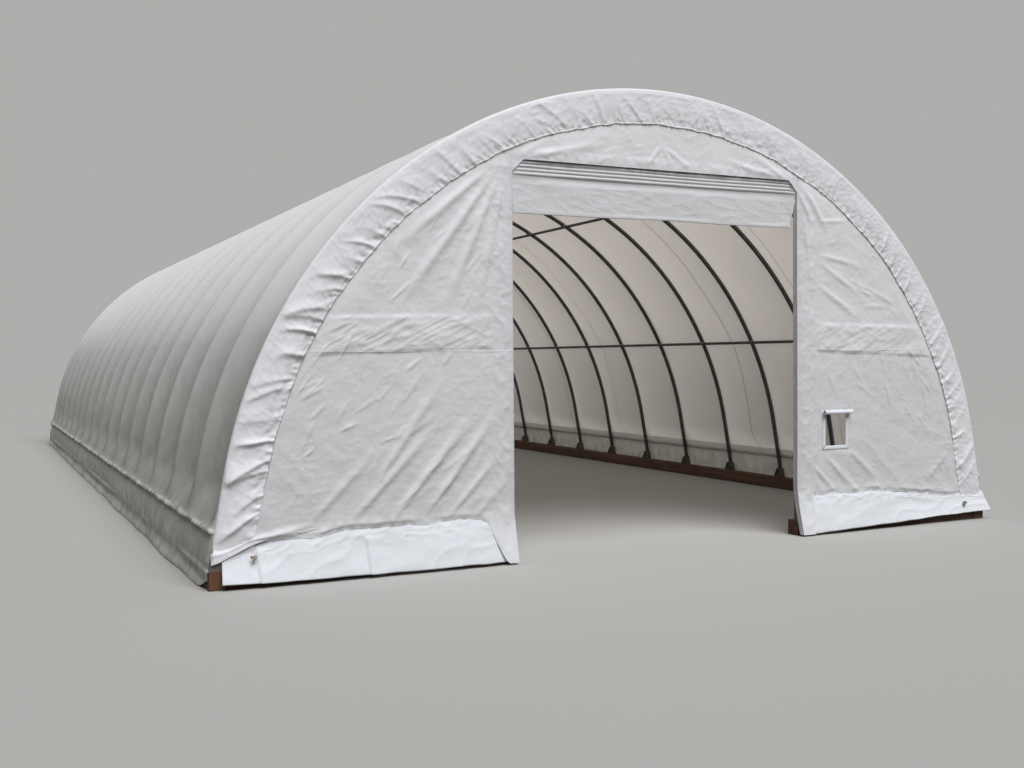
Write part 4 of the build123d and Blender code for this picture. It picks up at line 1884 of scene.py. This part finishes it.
@dataclass
class GroundFlap(Assembly):
    """One bright flap of cloth at the foot of an end wall.

    Attributes:
        top: height of the upper edge, or 0 where it follows the front wall's own edge.
        hems: heights of the lower edge, at the left and right end.
        slopes: how far each end leans outward at the foot.
        upright: creases down the flap, by their X.
    """

    end: End = End.FRONT
    node: str = "front_left_skirt"
    left: float = -4.50
    right: float = -1.74
    top: float = 0.0
    hems: Point = (0.052, 0.022)
    slopes: Point = (0.015, 0.020)
    upright: tuple[float, ...] = ()
    seed: int = 61
    step: float = 0.014
    plane: float = 0.0365

    def build(self) -> None:
        """Make and settle the flap."""
        flap = cloth_object(f"{self.node}_cloth", [self._places()], self.end is End.FRONT)
        self.thicken(flap, 0.0018)
        rests_on = (f"{self.end.name.lower()}_wall_cloth",)
        cut = Cut((self.right - self.left, 0.44), Hold.HUNG, rests_on)
        self.settle(flap, "skirt_fabric", self.finishes.flap, (self.node,), cut)

    def _crumple(self, step: int, reach: float) -> Crumple:
        """One of the flap's own patterns."""
        return Crumple(self.seed + step, reach)

    def _creased(self, x: Array, down: Array) -> Array:
        """Waves, crushed upper edge and upright creases.

        Args:
            x: places across the flap.
            down: 0 at its upper edge and 1 at its hem.

        Returns:
            Their relief.
        """
        here, free = x + CLEAR, ease(down, 0.08, 0.50)
        wave = self._crumple(3, 0.55).height(here, down * 0.25) * 0.015
        wave = wave + self._crumple(6, 0.19).height(here, down * 0.7 + 7) * 0.0035
        creases = self._crumple(4, 0.30).ridges(here + down * 0.25, down * 0.55 + CLEAR)
        crush = self._crumple(7, 0.10).ridges(here + down * 0.3, down * 0.9 + CLEAR) * 0.007
        crush = crush * ease(down, 0.02, 0.12) * (1 - ease(down, 0.25, 0.5))
        out = (wave + creases * 0.0060) * free + crush
        for crease in self.upright:
            away = x - crease - down * 0.03
            step = ease(away, -0.03, 0.0) * ease(0.22 - away, 0.0, 0.22)
            fold = 0.012 * np.exp(-np.abs(away) / 0.012) + 0.014 * step
            out = out + fold * ease(down, 0.12, 0.4)
        return out

    def _places(self) -> Array:
        """The flap's shape.

        Returns:
            Grid of places, rows down from its upper edge.
        """
        columns = round((self.right - self.left) / self.step)
        x = np.linspace(self.left, self.right, columns)[None, :]
        part = (x - self.left) / (self.right - self.left)
        down = np.linspace(0, 1, 34)[:, None]
        top = self.top + 0 * x if self.top else FOOT.flap_top(x)
        hem = self.hems[0] + (self.hems[1] - self.hems[0]) * part
        hem = hem + self._crumple(2, 0.6).height(x + CLEAR, 0.0) * 0.007
        hem = hem + self._crumple(5, 0.15).height(x + CLEAR, 0.0) * 0.003
        z = top + (np.maximum(hem, 0.004) - top) * down
        out = FOOT.reach(x, z) - 0.004 * (1 - ease(down, 0.08, 0.22)) + self._creased(x, down)
        if self.end is End.FRONT:
            out = out - (0.004 + 0.016 * ease(down, 0.08, 0.50)) * FOOT.strip_share(x)
        lean = self.slopes[1] * ease(part, 0.88, 1.0) - self.slopes[0] * (1 - ease(part, 0, 0.12))
        return grid(x + lean * down, self.end.value * (HALL.half_length + self.plane + out), z)


@dataclass
class CornerFold(Assembly):
    """Loose cloth of the left side flap, drawn round the front corner onto the end wall.

    Attributes:
        route: X, Y, Z and half the height of the fold along its way.
    """

    route: tuple[tuple[float, float, float, float], ...] = (
        (-4.550, -9.700, 0.296, 0.040), (-4.580, -9.762, 0.286, 0.058),
        (-4.588, -9.792, 0.282, 0.064), (-4.566, -9.807, 0.288, 0.060),
        (-4.510, -9.808, 0.300, 0.052), (-4.420, -9.806, 0.330, 0.040),
        (-4.247, -9.802, 0.404, 0.038), (-4.080, -9.796, 0.446, 0.034),
        (-3.910, -9.794, 0.462, 0.028), (-3.740, -9.792, 0.468, 0.020),
        (-3.560, -9.786, 0.470, 0.010),
    )
    columns: int = 190
    column_step: float = 0.0085

    def build(self) -> None:
        """Make and settle the fold."""
        piece = cloth_object("corner_fold_cloth", [self._places()])
        self.thicken(piece, 0.0015)
        cut = Cut((1.22, 0.10), Hold.FOLDED, ("front_wall_cloth", "left_side_skirt_cloth"))
        self.settle(piece, "skirt_fabric", self.finishes.wall, (), cut)

    def _line(self) -> Array:
        """Smooth line through the points of the route.

        Returns:
            X, Y, Z and half the height at each place along it.
        """
        marks = np.array(self.route)
        place = np.linspace(0, len(marks) - 1, self.columns)
        low = np.clip(place.astype(int), 0, len(marks) - 2)
        part = (place - low)[:, None]
        before, after = marks[np.maximum(low - 1, 0)], marks[np.minimum(low + 2, len(marks) - 1)]
        a, b = marks[low], marks[low + 1]
        square = (2 * before - 5 * a + 4 * b - after) * part**2
        cube = (3 * a - before - 3 * b + after) * part**3
        return 0.5 * (2 * a + (b - before) * part + square + cube)

    def _places(self) -> Array:
        """The fold's shape.

        Returns:
            Grid of places, rows along its route and columns from its lower to its upper edge.
        """
        line = self._line()
        run = np.gradient(line[:, :2], axis=0)
        run /= np.linalg.norm(run, axis=1, keepdims=True)
        across = np.linspace(-1, 1, 21)[None, :]
        along = np.arange(len(line))[:, None] * self.column_step
        tuck = -0.026 + 0.034 * ease(-line[:, 1:2], 9.770, 9.800)
        bulge = 0.003 + tuck * ease(-across, 0.0, 1.0) - 0.024 * ease(across, 0.25, 1.0)
        crushed = Crumple(91, 0.11).ridges(along + across * 0.03 + CLEAR, along * 0.3 + CLEAR)
        bulge = bulge + crushed * 0.005 * (1 - across**2)
        x, y, z, half = (line[:, part : part + 1] for part in range(4))
        return grid(x + run[:, 1:] * bulge, y - run[:, :1] * bulge, z + half * across)


@dataclass
class DoorCurtain(Assembly):
    """Door curtain drawn up under the header in folds, with its last flap hanging.

    Attributes:
        pitch: distance between two pleats, and depth: how far one stands out.
        folded_end: how far the hanging flap's right end is folded in.
    """

    left: float = -1.700
    right: float = 1.752
    pleats: int = 4
    pitch: float = 0.036
    depth: float = 0.008
    hem: float = 3.372
    folded_end: float = 0.065
    pleat_cloth: float = 0.085
    flap_cloth: float = 0.42

    def build(self) -> None:
        """Make and settle the curtain."""
        curtain = cloth_object("door_curtain_cloth", [self._places()])
        self.thicken(curtain, 0.0015)
        flat = (self.right - self.left, self.flap_cloth + self.pleats * self.pleat_cloth)
        cut = Cut(flat, Hold.GATHERED, ("door_frame",))
        self.settle(curtain, "curtain_fabric", self.finishes.curtain, ("door_curtain",), cut)

    def _pleats(self, x: Array) -> tuple[Array, Array]:
        """The folds under the header.

        Args:
            x: columns.

        Returns:
            Y, from the end hoop's middle, and Z of each place.
        """
        turn = np.linspace(0, self.pleats * 2 * np.pi, self.pleats * 16)[:, None]
        whole, here = turn / (2 * np.pi), x + CLEAR
        droop = Crumple(71, 0.9).height(here, whole * 0.2) * 0.004
        droop = droop + Crumple(72, 0.25).height(here, whole * 0.9) * 0.0022
        uneven = 1 + 0.35 * Crumple(73, 0.8).height(here, whole * 0.8)
        ends = ease(np.minimum(x - self.left, self.right - x), -0.02, 0.16)
        start = HALL.door_height - 0.006
        z = start - whole * self.pitch + droop * (0.3 + 0.7 * ends)
        face = (2 * np.abs(np.sin(turn / 2)) ** 0.65 - 1) * uneven * (0.55 + 0.45 * ends)
        return -0.020 - self.depth * face - 0.001 * whole, z

    def _places(self) -> Array:
        """The curtain's shape.

        Returns:
            Grid of places, rows from the header down.
        """
        x = np.linspace(self.left, self.right, 320)[None, :]
        y_fold, z_fold = self._pleats(x)
        down = np.linspace(0.02, 1, 38)[:, None]
        low = self.hem + Crumple(74, 0.8).height(x + CLEAR, 0.0) * 0.006 + 0.004 * (x / 1.7)
        z_flap = z_fold[-1:] + (low - z_fold[-1:]) * down
        wave = Crumple(75, 0.62).height(x * 0.8 + CLEAR - down * 0.4, down * 0.5) * 0.009
        slide = x * 0.45 + down * 0.6 + CLEAR
        wave = wave + Crumple(76, 0.22).ridges(slide, down * 0.8 + CLEAR) * 0.0016
        slide = x * 0.5 - down * 0.3 + CLEAR
        wave = wave + Crumple(77, 0.09).ridges(slide, down * 0.5 + CLEAR) * 0.0025
        hem = ease(down, 0.895, 0.91) * 0.0045 + 0.012 * down
        drop = (wave + 0.004) * ease(down, 0.0, 0.25) + hem - 0.004 * ease(down, 0.0, 0.10)
        from_end = x - self.right
        crease = 0.016 * bell(from_end + 0.20 - 0.10 * down, 0.022) * down
        tucked = 0.020 * ease(from_end, 0.16 * down - 0.30, 0.16 * down - 0.22) * down
        y_flap = y_fold[-1:] - drop - crease + tucked
        x_flap = x - self.folded_end * ease(down, 0.1, 1.0) * ease(from_end, -0.10, 0.0)
        x = np.concatenate([np.broadcast_to(x, z_fold.shape), x_flap])
        y = np.clip(np.concatenate([y_fold, y_flap]), -0.035, 0.06) - HALL.half_length
        return grid(x, y, np.concatenate([z_fold, z_flap]))


@dataclass
class VentWindow(Assembly):
    """Small vent: its bound edge, its rolled-up flap and the two ties round the roll.

    Attributes:
        roll: radius of the rolled flap, and core: radius inside it.
    """

    wall: EndWall | None = None
    binding: float = 0.038
    roll: float = 0.028
    core: float = 0.008
    roll_gap: float = 0.012
    roll_rise: float = 0.020
    tie_inset: float = 0.02

    def build(self) -> None:
        """Make and settle the vent."""
        on_wall = ("front_wall_cloth",)
        binding = cloth_object("vent_binding_cloth", [self._binding_places()])
        self.thicken(binding, 0.003)
        cut = Cut((1.44, 0.05), Hold.STRETCHED, on_wall)
        self.settle(binding, "end_fabric", self.finishes.flap, ("vent_binding",), cut)
        roll = cloth_object("vent_roll_cloth", [self._roll_places()])
        ties = tuple(self._tie(side) for side in Flank)
        for tie in ties:
            self.settle(tie, "end_fabric", self.finishes.flap)
        cut = Cut((0.40, 0.31), Hold.FOLDED, on_wall)
        self.settle(roll, "end_fabric", self.finishes.flap, ("vent_flap",), cut, ties)

    def _round_roll(self, radius: Array, turn: Array) -> tuple[Array, Array]:
        """Places round the middle of the roll.

        Args:
            radius: distance from it.
            turn: angle round it.

        Returns:
            Y and Z of each place.
        """
        middle = -HALL.half_length - self.wall.plane - self.roll_gap - self.roll
        height = self.wall.vent_high + self.roll_rise
        return middle + radius * np.cos(turn), height + radius * np.sin(turn)

    def _tie_place(self, side: Flank) -> float:
        """X of one tie."""
        edge = self.wall.vent_left if side is Flank.LEFT else self.wall.vent_right
        return edge - side.value * self.tie_inset

    def _binding_places(self) -> Array:
        """Raised strip round the opening.

        Returns:
            Grid of places, rows across the strip.
        """
        wall = self.wall
        corners = np.array([(-1.0, -1.0), (1.0, -1.0), (1.0, 1.0), (-1.0, 1.0), (-1.0, -1.0)])
        part = np.linspace(0, 1, 14, endpoint=False)[:, None]
        ring = [a * (1 - part) + b * part for a, b in zip(corners, corners[1:])]
        ring = np.concatenate([*ring, corners[:1]])
        section = (
            (-0.002, -0.001), (-0.001, 0.004), (0.003, 0.0050), (0.028, 0.0050),
            (self.binding, 0.003), (self.binding + 0.001, -0.001),
        )
        rows = []
        for away, out in section:
            x, z = (
                (low + high) / 2 + ring[:, axis] * ((high - low) / 2 + away)
                for axis, low, high in (
                    (0, wall.vent_left, wall.vent_right), (1, wall.vent_low, wall.vent_high)
                )
            )
            rows.append(grid(x, np.array(-HALL.half_length - wall.plane - out), z))
        return np.array(rows)

    def _roll_places(self) -> Array:
        """The rolled flap, a loose spiral that its ties pinch.

        Returns:
            Grid of places, columns along the roll.
        """
        x = np.linspace(self.wall.vent_left - 0.040, self.wall.vent_right + 0.058, 46)[None, :]
        turn = np.linspace(0, 5.2 * np.pi, 64)[:, None]
        pinch = sum(bell(x - self._tie_place(side), 0.018) for side in Flank)
        radius = (self.core + (self.roll - self.core) * turn / turn[-1]) * (1 - 0.12 * pinch)
        radius = radius * (1 + 0.06 * Crumple(81, 0.05).height(x, turn * 0.03))
        return grid(x, *self._round_roll(radius, turn))

    def _tie(self, side: Flank) -> Piece:
        """One narrow tie round the roll.

        Args:
            side: which tie.

        Returns:
            The tie.
        """
        turn = np.linspace(0, 2 * np.pi, 40)[:, None]
        across = self._tie_place(side) + np.linspace(-0.009, 0.009, 3)[None, :]
        places = grid(across, *self._round_roll(np.array(self.roll * 0.93), turn))
        return cloth_object(f"vent_tie_{side.name.lower()}", [places])


# Studio


@dataclass
class Studio:
    """Pale floor, soft lamp and the camera.

    Attributes:
        floor_colour: the floor as the camera sees it, and ground_colour: as it lights the rest.
        lamp_width: angle that the lamp fills, and lamp_turn: its direction, both in degrees.
        sky_colour: what the camera, clear cloth and gloss see beyond the floor.
        spot: the camera's place, and turns: its yaw, pitch and roll, in radians.
    """

    floor_colour: Colour = (0.3850, 0.3800, 0.3692)
    ground_colour: Colour = (0.18, 0.17, 0.155)
    floor_reach: float = 150.0
    lamp_power: float = 3.95
    lamp_width: float = 46.0
    lamp_turn: Triple = (33.0, 0.0, 3.0)
    fill_colour: Colour = (0.80, 0.84, 0.90)
    fill_power: float = 0.070
    sky_colour: Colour = (0.424, 0.420, 0.410)
    spot: Triple = (-6.457, -19.510, 1.964)
    lens: float = 39.49
    turns: Triple = (-0.4533, -0.0220, -0.0072)

    def build(self) -> None:
        """Set up floor, light and camera."""
        self._floor()
        self._lamp()
        self._sky()
        self._camera()
        bpy.context.scene.view_settings.view_transform = "Standard"

    def _floor(self) -> None:
        """Wide plain floor, just under the timbers."""
        edge = np.linspace(-self.floor_reach, self.floor_reach, 3)
        floor = cloth_object("floor", [grid(edge[None, :], edge[:, None], np.array(-0.002))])
        finish = Finish("floor", self.floor_colour, 0.9, gloss=0.0)
        surface = Surface(finish)
        mottle = surface.noise(0.8, 4.0)
        shade = surface.blend(mottle * 0.3, self.floor_colour, finish.tinted(0.95))
        path = surface.node("ShaderNodeLightPath")
        shade = surface.blend(path.outputs["Is Camera Ray"], self.ground_colour, shade)
        surface.feed(surface.shader.inputs["Base Color"], shade)
        floor.data.materials.append(surface.material)

    def _lamp(self) -> None:
        """One wide soft light from the front above."""
        lamp = bpy.data.lights.new("main_light", "SUN")
        lamp.energy, lamp.angle = self.lamp_power, math.radians(self.lamp_width)
        add_object(lamp.name, lamp).rotation_euler = [math.radians(turn) for turn in self.lamp_turn]

    def _sky(self) -> None:
        """Even fill, and the plain backdrop that the camera, clear cloth and gloss see."""
        world = bpy.data.worlds.new("studio")
        world.use_nodes = True
        bpy.context.scene.world = world
        board = Board(world.node_tree)
        fill, seen = (
            board.node("ShaderNodeBackground", None, {0: (*colour, 1.0), 1: power})
            for colour, power in ((self.fill_colour, self.fill_power), (self.sky_colour, 1.0))
        )
        path = board.node("ShaderNodeLightPath").outputs
        straight = Wire(board, path["Is Camera Ray"]).higher_of(path["Is Transmission Ray"])
        shown = straight.higher_of(path["Is Glossy Ray"])
        inputs = {0: shown, 1: fill.outputs[0], 2: seen.outputs[0]}
        mix = board.node("ShaderNodeMixShader", None, inputs)
        board.feed(world.node_tree.nodes["World Output"].inputs[0], mix.outputs[0])

    def _camera(self) -> None:
        """Camera at the photograph's place."""
        yaw, pitch, roll = self.turns
        level = Vector((math.cos(yaw), math.sin(yaw), 0.0))
        ahead = Vector((-level.y * math.cos(pitch), level.x * math.cos(pitch), math.sin(pitch)))
        above = level.cross(ahead)
        right = level * math.cos(roll) + above * math.sin(roll)
        up = above * math.cos(roll) - level * math.sin(roll)
        camera = add_object("camera", bpy.data.cameras.new("camera"))
        camera.data.lens, camera.data.sensor_width = self.lens, 36.0
        camera.data.clip_end = 400.0
        turn = Matrix((right, up, -ahead)).transposed().to_4x4()
        camera.matrix_world = Matrix.Translation(self.spot) @ turn
        bpy.context.scene.camera = camera


def main() -> None:
    """Build every sub-assembly in order, then the studio."""
    logging.basicConfig(level=logging.INFO, format="%(name)s: %(message)s")
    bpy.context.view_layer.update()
    finishes = Finishes()
    wall = EndWall(finishes)
    for part in (
        Frame(finishes),
        Base(finishes),
        Cover(finishes),
        EndBand(finishes, end=End.FRONT),
        EndBand(finishes, end=End.REAR, step=0.022, puckers=140, seed=35),
        wall,
        GroundFlap(finishes, upright=(-4.20, -3.21)),
        GroundFlap(
            finishes, node="front_right_skirt", left=1.80, right=4.60, hems=(0.014, 0.112),
            slopes=(0.05, 0.075), seed=66,
        ),
        CornerFold(finishes),
        GroundFlap(
            finishes, end=End.REAR, node="rear_skirt", left=-4.46, right=4.46, top=0.38,
            hems=(0.02, 0.02), seed=86,
        ),
        DoorCurtain(finishes),
        VentWindow(finishes, wall=wall),
        Studio(),
    ):
        part.build()


if __name__ == "__main__":
    main()
